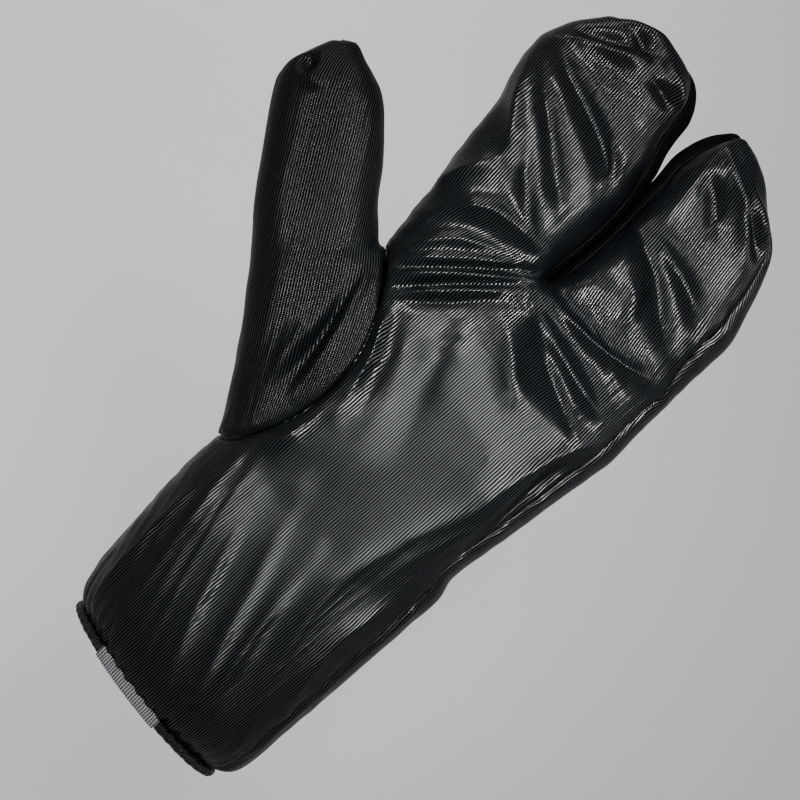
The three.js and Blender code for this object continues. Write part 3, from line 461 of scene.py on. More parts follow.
def column(table, name, places, key=None):
    """A column of a table at each place, on a smooth curve through its rows. Without a key a
    place is a row's number."""
    keys = np.arange(len(table), dtype=float)
    if key:
        keys = np.array([getattr(row, key) for row in table], float)
    values = np.array([getattr(row, name) for row in table], float)
    last = len(table) - 1
    before = np.maximum(np.arange(last + 1) - 1, 0)
    after = np.minimum(np.arange(last + 1) + 1, last)
    slopes = (values[after] - values[before]) / (keys[after] - keys[before])
    places = np.asarray(places, float)
    i = np.clip(np.searchsorted(keys, places, side="left") - 1, 0, last - 1)
    span = keys[i + 1] - keys[i]
    t = np.clip((places - keys[i]) / span, 0, 1)
    starts = values[i] * (1 + 2 * t) * (1 - t) ** 2 + slopes[i] * span * t * (1 - t) ** 2
    ends = values[i + 1] * t * t * (3 - 2 * t) - slopes[i + 1] * span * t * t * (1 - t)
    return starts + ends


def on_section(left, right, half_depth, fullness, angle):
    """Points on a section: angle LEFT is its thumb side, RIGHT its other side."""
    power = 2 / fullness
    c = np.sign(np.cos(angle)) * np.abs(np.cos(angle)) ** power
    s = np.sign(np.sin(angle)) * np.abs(np.sin(angle)) ** power
    return (left + right) / 2 + c * (right - left) / 2, s * half_depth


def curl(z):
    """How far the middle plane leans to the palm side at a height."""
    start = PALM_LENGTH * CURL_START
    end = PALM_LENGTH + INDEX_LOBE.length
    return -FINGER_CURL * np.clip((z - start) / (end - start), 0, 1) ** 2


def palm_size(along):
    """The left and right edges and the half depth of the palm's sections."""
    hem = column(PALM_SECTIONS, "hem", along, "along")
    width = mix(PALM_WIDTH, HEM_WIDTH, hem)
    depth = mix(PALM_DEPTH, HEM_DEPTH, hem)
    names = ("left", "right", "depth")
    left, right, share = (column(PALM_SECTIONS, name, along, "along") for name in names)
    return width * left, width * right, depth * share / 2


def slit(height):
    """Middle and half-width of the slit between the lobes, at heights above the fork."""
    along = height / RING_LOBE.length
    middle = FORK_ACROSS + FORK_BOW * np.sin(np.pi * np.clip(along / BOW_REACH, 0, 1))
    opening = LOBE_GAP * np.clip(height / (2 * LOBE_GAP), 0, 1) ** 0.5
    widening = LOBE_SPREAD * smooth((along - SPREAD_START) / (1 - SPREAD_START))
    return middle, (opening + widening) / 2


def on_lobe(lobe, place, angle):
    """Points of a lobe at places of its table and angles."""
    at = {name: column(lobe.table, name, place) for name in lobe.table[0]._fields}
    inner_height = lobe.length * at["inner_along"]
    middle, half = slit(inner_height)
    inner = middle + lobe.side * (half + lobe.width * at["draw"])
    outer = FORK_ACROSS + lobe.side * lobe.width * at["outer"]
    reach = math.cos(GUSSET_ANGLE) ** (2 / LOBE_FULLNESS)
    end = outer + (inner - outer) * 2 / (1 + reach)
    left, right = (outer, end) if lobe.side < 0 else (end, outer)
    x, y = on_section(left, right, LOBE_DEPTH * at["depth"] / 2, LOBE_FULLNESS, angle)
    share = np.clip((x - outer) / (inner - outer), 0, 1)
    z = PALM_LENGTH + mix(lobe.length * at["outer_along"], inner_height, share)
    return np.stack([x, y + curl(z), z], axis=-1)


def lobe_grid(lobe, places, back):
    """A lobe's rows of points, on its palm side or its back."""
    t = np.linspace(0, 1, LOBE_COLUMNS + 1)[None, :]
    places = np.asarray(places, float)[:, None]
    if lobe is INDEX_LOBE:
        angle = mix(LEFT, GUSSET_ANGLE if back else RIGHT - GUSSET_ANGLE, t) + 0 * places
    else:
        seam = SIDE_SEAM_ANGLE * column(RING_SECTIONS, "seam", places)
        if back:
            angle = mix(LEFT - GUSSET_ANGLE, -seam, t)
        else:
            angle = mix(LEFT + GUSSET_ANGLE, RIGHT - seam, t)
    return on_lobe(lobe, places + 0 * t, angle)


def fork_row(back):
    """The row where both lobes start, from the thumb side to the side seam."""
    index = lobe_grid(INDEX_LOBE, [0], back)[0]
    ring = lobe_grid(RING_LOBE, [0], back)[0]
    return np.concatenate([index, ring[1:]])


def hole_angle(along, back, inward):
    """The edge of the thumb hole at each height, as an angle from the thumb side. Further inward,
    from 0 to 1, the columns bend round it more gently."""
    t = np.clip((along * PALM_LENGTH - THUMB_BOTTOM) / (THUMB_TOP - THUMB_BOTTOM), 0, 1)
    wide = THUMB_HOLE_BACK if back else THUMB_HOLE_FRONT
    return wide * np.clip(np.sin(np.pi * t), 0, 1) ** mix(THUMB_HOLE_SHAPE, GENTLE_SHAPE, inward)


def palm_grid(along, back):
    """Rows of the palm or the back, from the thumb side's edge to the side seam."""
    fork = fork_row(back)
    count = len(fork) - 1
    along = np.asarray(along, float)[:, None]
    k = np.arange(count + 1)[None, :]
    left, right, depth = palm_size(along)
    turn_seam = smooth((along - SEAM_TURN) / (1 - SEAM_TURN))
    seam = SIDE_SEAM_ANGLE * mix(1, RING_SECTIONS[0].seam, turn_seam)
    turn = -1 if back else 1
    total = math.pi + seam if back else math.pi - seam
    parted = np.clip((along - PINCH_START) / (1 - PINCH_START), 0, 1) ** PINCH_POWER
    inward = np.clip(k / (HOLE_EASE * count), 0, 1)
    angle = LEFT + turn * (total * k / count + hole_angle(along, back, inward) * (1 - inward) ** 2)
    fullness = mix(2, PALM_FULLNESS, smooth((along - FIRST_ALONG) / FULL_ALONG))
    x, y = on_section(left, right, depth, fullness, angle)
    z = along * PALM_LENGTH + 0 * x
    tilt = -HEM_SLOPE * x * (1 - smooth(along / SLOPE_END))
    flat = np.stack([x, y + curl(z), z], axis=-1)
    grid = mix(flat, fork[None], parted[..., None])
    grid[..., 2] += tilt
    return grid


HOLE_LOW = THUMB_BOTTOM / PALM_LENGTH
HOLE_HIGH = THUMB_TOP / PALM_LENGTH
HOLE_STEPS = np.arange(HOLE_ROWS + 1) / HOLE_ROWS
HOLE_SHARES = mix((1 - np.cos(np.pi * HOLE_STEPS)) / 2, HOLE_STEPS, HOLE_EVEN)
HOLE_PLACES = mix(HOLE_LOW, HOLE_HIGH, HOLE_SHARES)
PALM_PLACES = np.concatenate([
    np.linspace(FIRST_ALONG, HOLE_LOW, CUFF_ROWS + 1)[:-1],
    HOLE_PLACES,
    np.linspace(HOLE_HIGH, 1, KNUCKLE_ROWS + 1)[1:],
])
LOBE_PLACES = np.linspace(0, 1, LOBE_ROWS + 1) * LAST


class Cloth:
    """Grids of points joined into one piece of cloth, with its weave coordinates."""

    def __init__(self):
        self.points = []
        self.weave = []
        self.faces = []
        self.count = 0

    def add(self, grid, weave, flip, first=None):
        """Adds a grid. With first, its first row is those points, which are there already."""
        rows, columns = grid.shape[:2]
        skip = 0 if first is None else 1
        new = np.arange((rows - skip) * columns).reshape(rows - skip, columns) + self.count
        ids = new if first is None else np.vstack([first, new])
        self.points.append(grid[skip:].reshape(-1, 3))
        self.weave.append(weave[skip:].reshape(-1, 2))
        self.count += new.size
        a, b, c, d = ids[:-1, :-1], ids[:-1, 1:], ids[1:, 1:], ids[1:, :-1]
        quads = np.stack([a, b, c, d], axis=-1).reshape(-1, 4)
        self.faces.append(quads[:, ::-1] if flip else quads)
        return ids

    def done(self):
        """The points, the weave and the faces."""
        return tuple(np.concatenate(parts) for parts in (self.points, self.weave, self.faces))


def arc(grid):
    """Distance along each row of a grid from its first point."""
    steps = np.linalg.norm(np.diff(grid, axis=1), axis=-1)
    return np.concatenate([np.zeros((len(grid), 1)), np.cumsum(steps, axis=1)], axis=1)


def weave_of(grid, middle, offset=0.0):
    """Weave coordinates: distance across, counted from x = middle, and height."""
    run = arc(grid)
    across = np.empty_like(run)
    for i, row in enumerate(grid):
        order = np.argsort(row[:, 0])
        across[i] = run[i] - np.interp(middle, row[order, 0], run[i][order])
    return np.stack([across + offset, grid[..., 2]], axis=-1)


def hand_cloth(back):
    """The palm's grid with a lobe's grid on each half of its last row."""
    palm = palm_grid(PALM_PLACES, back)
    palm[-1] = fork_row(back)
    cloth = Cloth()
    weave = weave_of(palm, 0.0)
    ids = cloth.add(palm, weave, back)
    for lobe in (INDEX_LOBE, RING_LOBE):
        grid = lobe_grid(lobe, LOBE_PLACES, back)
        middle = FORK_ACROSS + lobe.side * lobe.width * LOBE_MIDDLE
        half = slice(0, LOBE_COLUMNS + 1) if lobe is INDEX_LOBE else slice(LOBE_COLUMNS, None)
        offset = np.interp(middle, grid[0, :, 0], weave[-1, half, 0])
        own = weave_of(grid, middle, offset)
        own[..., 0] += lobe.lean * (grid[..., 2] - PALM_LENGTH)
        cloth.add(grid, own, back, ids[-1, half])
    return cloth.done()


def gusset_cloth():
    """The strip down the index lobe's inner side, round the fork and up the ring lobe's."""
    t = np.linspace(0, 1, GUSSET_COLUMNS + 1)[None, :, None]

    def wall(lobe, places):
        start, end = RIGHT - GUSSET_ANGLE, GUSSET_ANGLE
        if lobe is RING_LOBE:
            start, end = LEFT + GUSSET_ANGLE, LEFT - GUSSET_ANGLE
        front = on_lobe(lobe, places, np.full(len(places), start))
        rear = on_lobe(lobe, places, np.full(len(places), end))
        grid = mix(front[:, None], rear[:, None], t)
        thick = np.clip((rear[:, 1] - front[:, 1]) / (LOBE_DEPTH / 2), 0, 1)
        bulge = -lobe.side * (slit(front[:, 2] - PALM_LENGTH)[1] + GUSSET_PRESS) * thick
        grid[..., 0] += bulge[:, None] * 4 * t[0, :, 0] * (1 - t[0, :, 0])
        return grid

    grid = np.concatenate([wall(INDEX_LOBE, LOBE_PLACES[::-1]), wall(RING_LOBE, LOBE_PLACES[1:])])
    cloth = Cloth()
    cloth.add(grid, np.stack([arc(grid), grid[..., 2]], axis=-1), True)
    return cloth.done()


Station = namedtuple("Station", "left_x left_z right_x right_z depth")


def thumb_stations():
    """The thumb's sections with their edges in the plane of the hand."""
    root = np.array([palm_size(np.array(HOLE_LOW))[0], THUMB_BOTTOM])
    crotch = np.array([palm_size(np.array(HOLE_HIGH))[0], THUMB_TOP])
    axis = np.array([-math.sin(THUMB_ANGLE), math.cos(THUMB_ANGLE)])
    side = np.array([math.cos(THUMB_ANGLE), math.sin(THUMB_ANGLE)])
    rows = []
    for number, row in enumerate(THUMB_SECTIONS):
        left = root + row.left_along * THUMB_LENGTH * axis + row.left * THUMB_WIDTH * side
        right = root + row.right_along * THUMB_LENGTH * axis + row.right * THUMB_WIDTH * side
        left = root if number == 0 else left
        right = crotch if number == CROTCH_ROW else right
        rows.append(Station(*left, *right, row.depth))
    return rows


THUMB_STATIONS = thumb_stations()


def thumb_row(place, back, end=None):
    """One row of the thumb from its outer edge to a point on the edge of its hole, or whole."""
    at = {name: float(column(THUMB_STATIONS, name, place)) for name in Station._fields}
    left = np.array([at["left_x"], at["left_z"]])
    across = np.array([at["right_x"], at["right_z"]]) - left
    forward = -THUMB_FORWARD * smooth(place / LAST)
    turn = -1 if back else 1
    reach = math.pi
    if end is not None:
        share = (end[[0, 2]] - left) @ across / (across @ across)
        cosine = 2 * np.clip(share, 0, 1) - 1
        reach = math.pi - math.acos(np.sign(cosine) * abs(cosine) ** (LOBE_FULLNESS / 2))
    t = np.linspace(0, 1, THUMB_COLUMNS + 1)
    half_depth = THUMB_DEPTH * at["depth"] / 2
    share, depth = on_section(0, 1, half_depth, LOBE_FULLNESS, LEFT + turn * reach * t)
    row = np.stack([left[0] + across[0] * share, depth + forward, left[1] + across[1] * share], axis=-1)
    if end is not None:
        row += (end - row[-1]) * t[:, None] ** WEB_POWER
    return row


def thumb_cloth(back):
    """The palm side or the back of the thumb, from the edge of its hole to its tip."""
    ends = palm_grid(HOLE_PLACES, back)[:, 0]
    low = [thumb_row(CROTCH_ROW * t, back, end) for t, end in zip(HOLE_SHARES, ends)]
    low[0][:] = ends[0]
    high = [thumb_row(p, back) for p in np.linspace(CROTCH_ROW, LAST, THUMB_HIGH_ROWS + 1)[1:]]
    grid = np.array(low + high)
    side = np.array([math.cos(THUMB_ANGLE), math.sin(THUMB_ANGLE)])
    across = arc(grid) + grid[:, :1, 0] * side[0] + grid[:, :1, 2] * side[1]
    along = grid[:, :, 2] * side[0] - grid[:, :, 0] * side[1]
    cloth = Cloth()
    cloth.add(grid, np.stack([across, along], axis=-1), back)
    return cloth.done()


def noise(points, seed):
    """Smooth noise from -1 to 1 in the plane, one lattice cell to a unit."""
    table = np.random.default_rng(seed).uniform(-1, 1, NOISE_VALUES)
    cell = np.floor(points).astype(np.int64)
    t = points - cell
    t = t * t * t * (t * (t * 6 - 15) + 10)
    total = np.zeros(len(points))
    for corner in product((0, 1), repeat=2):
        weights = np.prod(np.where(corner, t, 1 - t), axis=-1)
        at = cell + corner
        total += weights * table[(at[:, 0] * SCATTER_ACROSS ^ at[:, 1] * SCATTER_UP) % NOISE_VALUES]
    return total


def bent(points, steps=8):
    """Points on a smooth curve through a fold's own points."""
    points = np.array(points, float)
    ends = np.vstack([2 * points[0] - points[1], points, 2 * points[-1] - points[-2]])
    curve = []
    for a, b, c, d in zip(ends[:-3], ends[1:-2], ends[2:-1], ends[3:]):
        for t in np.arange(steps) / steps:
            curve.append(0.5 * (2 * b + (c - a) * t + (2 * a - 5 * b + 4 * c - d) * t**2
                                + (3 * b - a - 3 * c + d) * t**3))
    return np.array(curve + [points[-1]])


def fold_height(folds, places):
    """How far folds lift the cloth: each has a sharp crest and fades to its ends."""
    total = np.zeros(len(places))
    for fold in folds:
        curve = bent(fold.through)
        low, high = curve.min(0) - FOLD_REACH * fold.wide, curve.max(0) + FOLD_REACH * fold.wide
        near = np.flatnonzero(np.all((places > low) & (places < high), axis=1))
        if not len(near):
            continue
        best = np.full(len(near), np.inf)
        share = np.zeros(len(near))
        spans = len(curve) - 1
        for k in range(spans):
            start, step = curve[k], curve[k + 1] - curve[k]
            t = np.clip((places[near] - start) @ step / (step @ step), 0, 1)
            gap = np.linalg.norm(places[near] - start - t[:, None] * step, axis=1)
            closer = gap < best
            best[closer] = gap[closer]
            share[closer] = (k + t[closer]) / spans
        if fold.high > 0:
            profile = np.exp(-(np.hypot(best, CREST_ROUND) - CREST_ROUND) / fold.wide)
            ends = CREST_ENDS
        else:
            profile = np.exp(-((best / (GROOVE * fold.wide)) ** 2))
            ends = 0
        taper = ends + (1 - ends) * smooth(np.minimum(share, 1 - share) / FADE)
        total[near] += FOLD_STRENGTH * fold.high * profile * taper
    return total


def wrinkle_height(places):
    """Fine wrinkles, each field with its own direction and pitch."""
    total = np.zeros(len(places))
    for seed, field in enumerate(WRINKLES):
        away = places - np.array([field.x, field.z])
        window = np.exp(-((np.linalg.norm(away, axis=1) / field.reach) ** 2) * WRINKLE_END)
        c, s = math.cos(field.turn), math.sin(field.turn)
        run = away @ np.array([c, s]) / (field.pitch * field.stretch)
        over = away @ np.array([-s, c]) / field.pitch
        warp = noise(np.stack([run * WARP_ALONG, over * WARP_ACROSS], axis=-1), seed + WARP_SEED)
        ridged = 1 - np.abs(noise(np.stack([run, over + WARP * warp], axis=-1), seed)) * 2
        total += field.high * window * mix(ridged, np.clip(ridged, -1, 1) ** 3, WRINKLE_CREST)
    return total


def normals_of(points, faces):
    """The normal of each point, from the areas of its faces."""
    a, b, c, d = (points[faces[:, k]] for k in range(4))
    areas = np.cross(c - a, d - b)
    normals = np.zeros_like(points)
    for k in range(4):
        np.add.at(normals, faces[:, k], areas)
    return normals / np.maximum(np.linalg.norm(normals, axis=1, keepdims=True), 1e-12)


def edges_of(faces):
    """The directed edges of faces of four corners."""
    edges = np.concatenate([faces[:, [k, (k + 1) % 4]] for k in range(4)])
    return edges[edges[:, 0] != edges[:, 1]]


def relax(points, faces, strength, rounds):
    """Moves each point towards the middle of its neighbours, by its own strength."""
    edges = np.unique(np.sort(edges_of(faces), axis=1), axis=0)
    a, b = edges[:, 0], edges[:, 1]
    count = np.bincount(np.concatenate([a, b]), minlength=len(points))[:, None]
    for _ in range(rounds):
        total = np.stack([np.bincount(a, values[b], len(points)) + np.bincount(b, values[a], len(points))
                          for values in points.T], axis=-1)
        points = points + (total / np.maximum(count, 1) - points) * strength[:, None]
    return points


def open_edges(faces):
    """The directed edges that only one face has."""
    edges = edges_of(faces)
    size = int(faces.max()) + 1
    own = edges[:, 0] * size + edges[:, 1]
    back = edges[:, 1] * size + edges[:, 0]
    return edges[~np.isin(own, back)]


def weld(points, weave, faces):
    """Merges points at the same place, and drops the faces that shrink to a line."""
    _, first, ids = np.unique(np.round(points / WELD).astype(np.int64), axis=0,
                              return_index=True, return_inverse=True)
    faces = ids.reshape(-1)[faces]
    flat = (faces[:, 0] == faces[:, 2]) | (faces[:, 1] == faces[:, 3])
    doubled = sum((faces[:, k] == faces[:, (k + 1) % 4]).astype(int) for k in range(4))
    return points[first], weave[first], faces[~flat & (doubled < 2)]


def even_normals(points, faces, edges):
    """Normals, evened along the seams so that none of their corners moves askew."""
    on_seam = np.zeros(len(points))
    on_seam[edges.ravel()] = 1
    both_ways = np.hstack([edges, edges[:, ::-1]])
    return relax(normals_of(points, faces), both_ways, on_seam * EVEN_STRENGTH, EVEN_ROUNDS)


def seam_distance(points, edges):
    """Distance of every point to the nearest seam, and where along the seams that is. The cuff's
    mouth isn't a seam."""
    ids = np.unique(edges)
    ids = ids[points[ids, 2] > SEAM_LOW - HEM_SLOPE * points[ids, 0]]
    tree = kdtree.KDTree(len(ids))
    for number, point in enumerate(points[ids]):
        tree.insert(point, number)
    tree.balance()
    found = [tree.find(point) for point in points]
    gap = np.array([f[2] for f in found])
    place = points[ids[np.array([f[1] for f in found])]]
    return gap, place


def seam_height(points, edges):
    """The cloth dips into its seams and puckers beside them. Also how far off the seams are."""
    gap, place = seam_distance(points, edges)
    run = (place[:, 2] + place[:, 0] * PUCKER_SLANT) / PUCKER_PITCH
    pucker = noise(np.stack([run, gap * PUCKER_LONG], axis=-1), PUCKER_SEED)
    pucker = pucker * np.exp(-gap / PUCKER_REACH) * (1 - np.exp(-gap / PUCKER_START))
    lip = LIP_HIGH * np.exp(-(((gap - LIP_AWAY) / LIP_WIDE) ** 2))
    return lip + PUCKER_HIGH * pucker - SEAM_DEEP * np.exp(-((gap / SEAM_WIDE) ** 2)), gap


def gather_height(points):
    """Gathers run up from the hem and fade."""
    turn = np.arctan2(points[:, 1] / HEM_DEPTH, points[:, 0] / HEM_WIDTH)
    up = np.clip(points[:, 2] + HEM_SLOPE * points[:, 0], 0, None)
    ring = np.stack([np.cos(turn), np.sin(turn)], axis=-1)
    wander = GATHER_WANDER * noise(ring * GATHER_SCALE + up[:, None] * GATHER_CLIMB, GATHER_SEED)
    wave = np.abs(np.cos((GATHERS * turn + wander) / 2)) ** GATHER_SHARP - 0.5
    uneven = noise(ring * GATHER_UNEVEN_SCALE + GATHER_UNEVEN_SHIFT, GATHER_UNEVEN_SEED)
    strength = 1 - GATHER_UNEVEN + GATHER_UNEVEN * uneven
    fade = np.exp(-up / GATHER_REACH) * smooth(up / GATHER_RISE)
    return GATHER_HIGH * strength * wave * fade


def slit_dip(points):
    """How far both lobes roll away from the palm side beside the slit."""
    middle, half = slit(np.clip(points[:, 2] - PALM_LENGTH, 0, None))
    gap = np.clip(np.abs(points[:, 0] - middle) - half, 0, None)
    front = smooth(0.5 - (points[:, 1] - curl(points[:, 2])) / (LOBE_DEPTH / 4))
    rise = smooth((points[:, 2] - PALM_LENGTH + SLIT_BELOW) / SLIT_RISE)
    return SLIT_DEEP * np.exp(-((gap / SLIT_WIDE) ** 2)) * front * rise


def dress(points, weave, faces, folds, facing, gathered, joins):
    """Folds, wrinkles, seams and gathers on a smooth piece. Its folds are on the side that faces
    +Y or -Y."""
    points, weave, faces = weld(points, weave, faces)
    edges = open_edges(faces)
    inside = np.ones(len(points))
    inside[edges.ravel()] = 0
    for join in joins:
        window = np.exp(-(((weave[:, 1] - join.level) / join.reach) ** 2))
        both = np.hstack([points, weave])
        both = relax(both, faces, inside * JOIN_STRENGTH * window, JOIN_ROUNDS)
        points, weave = both[:, :3], both[:, 3:]
    normals = even_normals(points, faces, edges)
    seams, gap = seam_height(points, edges)
    clear = smooth(gap / SEAM_CLEAR)
    plane = points[:, [0, 2]]
    side = smooth(facing * normals[:, 1] * FACING_SHARP)
    height = wrinkle_height(plane) * mix(WRINKLES_AT_SEAM, 1, clear) + seams
    height = height + fold_height(folds, plane) * side * mix(FOLDS_AT_SEAM, 1, clear)
    if gathered:
        height = height + gather_height(points)
    moved = points + normals * height[:, None]
    moved[:, 1] += slit_dip(points)
    return relax(moved, faces, inside * LAST_STRENGTH, LAST_ROUNDS), weave, faces, edges


def thicken(points, weave, faces, edges):
    """Gives cloth its thickness inwards, with its edges closed."""
    inner = points - even_normals(points, faces, edges) * CLOTH
    count = len(points)
    rim = np.stack([edges[:, 1], edges[:, 0], edges[:, 0] + count, edges[:, 1] + count], axis=-1)
    return (np.concatenate([points, inner]), np.concatenate([weave, weave]),
            np.concatenate([faces, faces[:, ::-1] + count, rim]))


def make_piece(name, points, faces, weave, material, node):
    """A mesh piece that stands for a CAD node, which it hides, and takes the given material."""
    mesh = bpy.data.meshes.new(name)
    polygons = [list(dict.fromkeys(face)) for face in faces.tolist()]
    mesh.from_pydata((points * MM).tolist(), [], polygons)
    mesh.validate()
    mesh.update()
    mesh.shade_smooth()
    places = mesh.attributes.new("weave", "FLOAT_VECTOR", "POINT")
    flat = np.concatenate([weave, np.zeros((len(weave), 1))], axis=1).astype(np.float32)
    places.data.foreach_set("vector", flat.ravel())
    piece = bpy.data.objects.new(name, mesh)
    bpy.context.scene.collection.objects.link(piece)
    mesh.materials.append(material)
    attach(piece, "root")
    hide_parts(node)


def wire(tree, kind, inputs=(), **settings):
    """A shader node with its inputs given by name, as numbers or as other nodes' outputs."""
    node = tree.nodes.new(kind)
    for name, value in settings.items():
        setattr(node, name, value)
    for name, value in dict(inputs).items():
        socket = node.inputs[name]
        if isinstance(value, bpy.types.NodeSocket):
            tree.links.new(value, socket)
        else:
            socket.default_value = value
    return node


def maths(tree, operation, *values):
    """A node that works out a sum of numbers or of other nodes' outputs."""
    return wire(tree, "ShaderNodeMath", dict(enumerate(values)), operation=operation).outputs[0]


def ribbed(name):
    """Ribbed nylon: fine ribs along the weave, turned a little from the piece's own axis, with
    long streaks under them. Its colour runs with a rib's height from painted shade at the foot to painted
    sheen at the crest."""
    nylon = NYLONS[name]
    material = bpy.data.materials.new(name)
    material.use_nodes = True
    tree = material.node_tree
    place = wire(tree, "ShaderNodeAttribute", attribute_name="weave").outputs["Vector"]
    turned = wire(tree, "ShaderNodeVectorRotate", {"Vector": place, "Angle": nylon.turn},
                  rotation_type="Z_AXIS").outputs["Vector"]
    parts = wire(tree, "ShaderNodeSeparateXYZ", {"Vector": turned})
    wander = wire(tree, "ShaderNodeTexNoise", {"Vector": place, "Scale": WANDER_SCALE, "Detail": 2.0})
    across = maths(tree, "MULTIPLY_ADD", wander.outputs["Fac"], WANDER, parts.outputs["X"])
    ribs = maths(tree, "SINE", maths(tree, "MULTIPLY", across, 2 * math.pi / nylon.pitch))
    steps = maths(tree, "MULTIPLY", parts.outputs["Y"], 2 * math.pi / (nylon.pitch * KNOT_PITCH))
    knotted = maths(tree, "MULTIPLY_ADD", maths(tree, "SINE", steps), nylon.knots, ribs)
    height = maths(tree, "MULTIPLY_ADD", knotted, RIB_SWING, 0.5)
    # Painted shade and sheen: the colour darkens into the grooves and lightens on the crests with the rib's
    # height
    rib_shade_and_sheen = wire(tree, "ShaderNodeMix", {"Factor": height}, data_type="RGBA")
    rib_shade_and_sheen.inputs["A"].default_value = (*nylon.foot, 1)
    rib_shade_and_sheen.inputs["B"].default_value = (*nylon.crest, 1)
    squeezed = wire(tree, "ShaderNodeVectorMath", {0: turned, 1: STREAKS}, operation="MULTIPLY")
    streaks = wire(tree, "ShaderNodeTexNoise",
                   {"Vector": squeezed.outputs[0], "Scale": 1.0, "Detail": 1.0})
    creased = wire(tree, "ShaderNodeBump",
                   {"Height": streaks.outputs["Fac"], "Strength": 1.0, "Distance": STREAK_HIGH})
    raised = wire(tree, "ShaderNodeBump",
                  {"Height": height, "Strength": nylon.relief, "Distance": RIB_HIGH,
                   "Normal": creased.outputs["Normal"]})
    gloss = maths(tree, "MULTIPLY", maths(tree, "POWER", height, CREST_POWER), nylon.shine)
    shader = tree.nodes["Principled BSDF"]
    tree.links.new(rib_shade_and_sheen.outputs["Result"], shader.inputs["Base Color"])
    tree.links.new(raised.outputs["Normal"], shader.inputs["Normal"])
    tree.links.new(gloss, shader.inputs["Specular IOR Level"])
    shader.inputs["Roughness"].default_value = nylon.rough
    return material


MOUTH = np.array([(HEM_WIDTH - HEM_ROLL) / 2, (HEM_DEPTH - HEM_ROLL) / 2])


def mouth_point(angle):
    """Points on the middle line of the hem, round the mouth."""
    x = MOUTH[0] * np.cos(angle)
    return np.stack([x, MOUTH[1] * np.sin(angle), -HEM_SLOPE * x], axis=-1)


def mouth_out(angle):
    """The way out of the mouth at each angle."""
    out = np.stack([np.cos(angle) / MOUTH[0], np.sin(angle) / MOUTH[1], 0 * angle], axis=-1)
    return out / np.linalg.norm(out, axis=-1, keepdims=True)


def mouth_run(angles):
    """Distance round the mouth from the first of the angles."""
    steps = np.linalg.norm(np.diff(mouth_point(angles), axis=0), axis=1)
    return np.concatenate([[0], np.cumsum(steps)])


def mouth_reach(start, length):
    """The angle that an arc of a given length reaches, going round the mouth."""
    angles = start + np.linspace(0, 2 * math.pi, MOUTH_STEPS)
    return float(np.interp(length, mouth_run(angles), angles))


ELASTIC_END = mouth_reach(ELASTIC_START, ELASTIC_LENGTH)


def swept(angles, out, up):
    """A closed section swept round the mouth: out and up hold its points for each angle."""
    middle = mouth_point(angles)[:, None]
    grid = middle + mouth_out(angles)[:, None] * out[..., None] + UP * up[..., None]
    return np.concatenate([grid, grid[:, :1]], axis=1)


def swept_piece(name, angles, out, up, material, node):
    """A piece swept round part of the mouth, with both of its ends closed."""
    grid = swept(angles, out, up)
    around = arc(grid)
    cloth = Cloth()
    cloth.add(grid, np.stack([mouth_run(angles)[:, None] + 0 * around, around], axis=-1), False)
    points, weave, faces = weld(*cloth.done())
    edges = open_edges(faces)
    rims = np.unique(edges)
    for end in (grid[0], grid[-1]):
        near = [i for i in rims if np.min(np.linalg.norm(end - points[i], axis=1)) < RIM_NEAR]
        own = edges[np.isin(edges[:, 0], near)]
        tip = np.full(len(own), len(points))
        points = np.vstack([points, end[:-1].mean(0)])
        weave = np.vstack([weave, weave[near[0]]])
        faces = np.vstack([faces, np.stack([own[:, 1], own[:, 0], tip, tip], axis=-1)])
    make_piece(name, points, faces, weave, material, node)


def hem_roll(material):
    """The gathered roll, all round the mouth but for the bare elastic."""
    start = mouth_reach(ELASTIC_END, HEM_APART)
    angles = np.linspace(start, ELASTIC_START + 2 * math.pi, HEM_STEPS + 1)
    share = np.linspace(0, 1, HEM_STEPS + 1)
    wander = noise(np.stack([share * HEM_WANDER_CELLS, 0 * share], axis=-1), HEM_SEED)
    crest = np.cos(2 * math.pi * HEM_GATHERS * share + wander * HEM_WANDER)
    uneven = noise(np.stack([share * HEM_UNEVEN_CELLS, 0 * share], axis=-1), HEM_UNEVEN_SEED)
    radius = (HEM_ROLL / 2) * (1 - HEM_CREST * (1 - crest) + HEM_UNEVEN * uneven)
    turn = -np.linspace(0, 2 * math.pi, HEM_SIDES + 1)[:-1]
    shape = radius[:, None] * (1 + HEM_DENT * np.cos(turn * HEM_DENTS + crest[:, None]))
    out = shape * np.cos(turn)
    up = shape * np.sin(turn)
    swept_piece("hem_roll", angles, out, up, material, "hem_casing")


def elastic_band(material):
    """The bare stretch of elastic, drawn into fine waves."""
    angles = np.linspace(ELASTIC_START, ELASTIC_END, ELASTIC_STEPS + 1)
    turn = np.linspace(0, 2 * math.pi * ELASTIC_WAVES, ELASTIC_STEPS + 1)
    wave = ELASTIC_WAVE_HIGH * np.sin(turn)[:, None]
    top = HEM_ROLL / 2
    low = top - ELASTIC_WIDTH
    half = ELASTIC_THICK / 2
    inset = half - ELASTIC_CORNER
    out = np.array([[inset, half, half, inset, -half, -half]]) + wave
    up = np.array([[top, top - ELASTIC_CORNER, low + ELASTIC_CORNER, low, low, top]]) + 0 * wave
    swept_piece("elastic_band", angles, out, up, material, "hem_elastic")


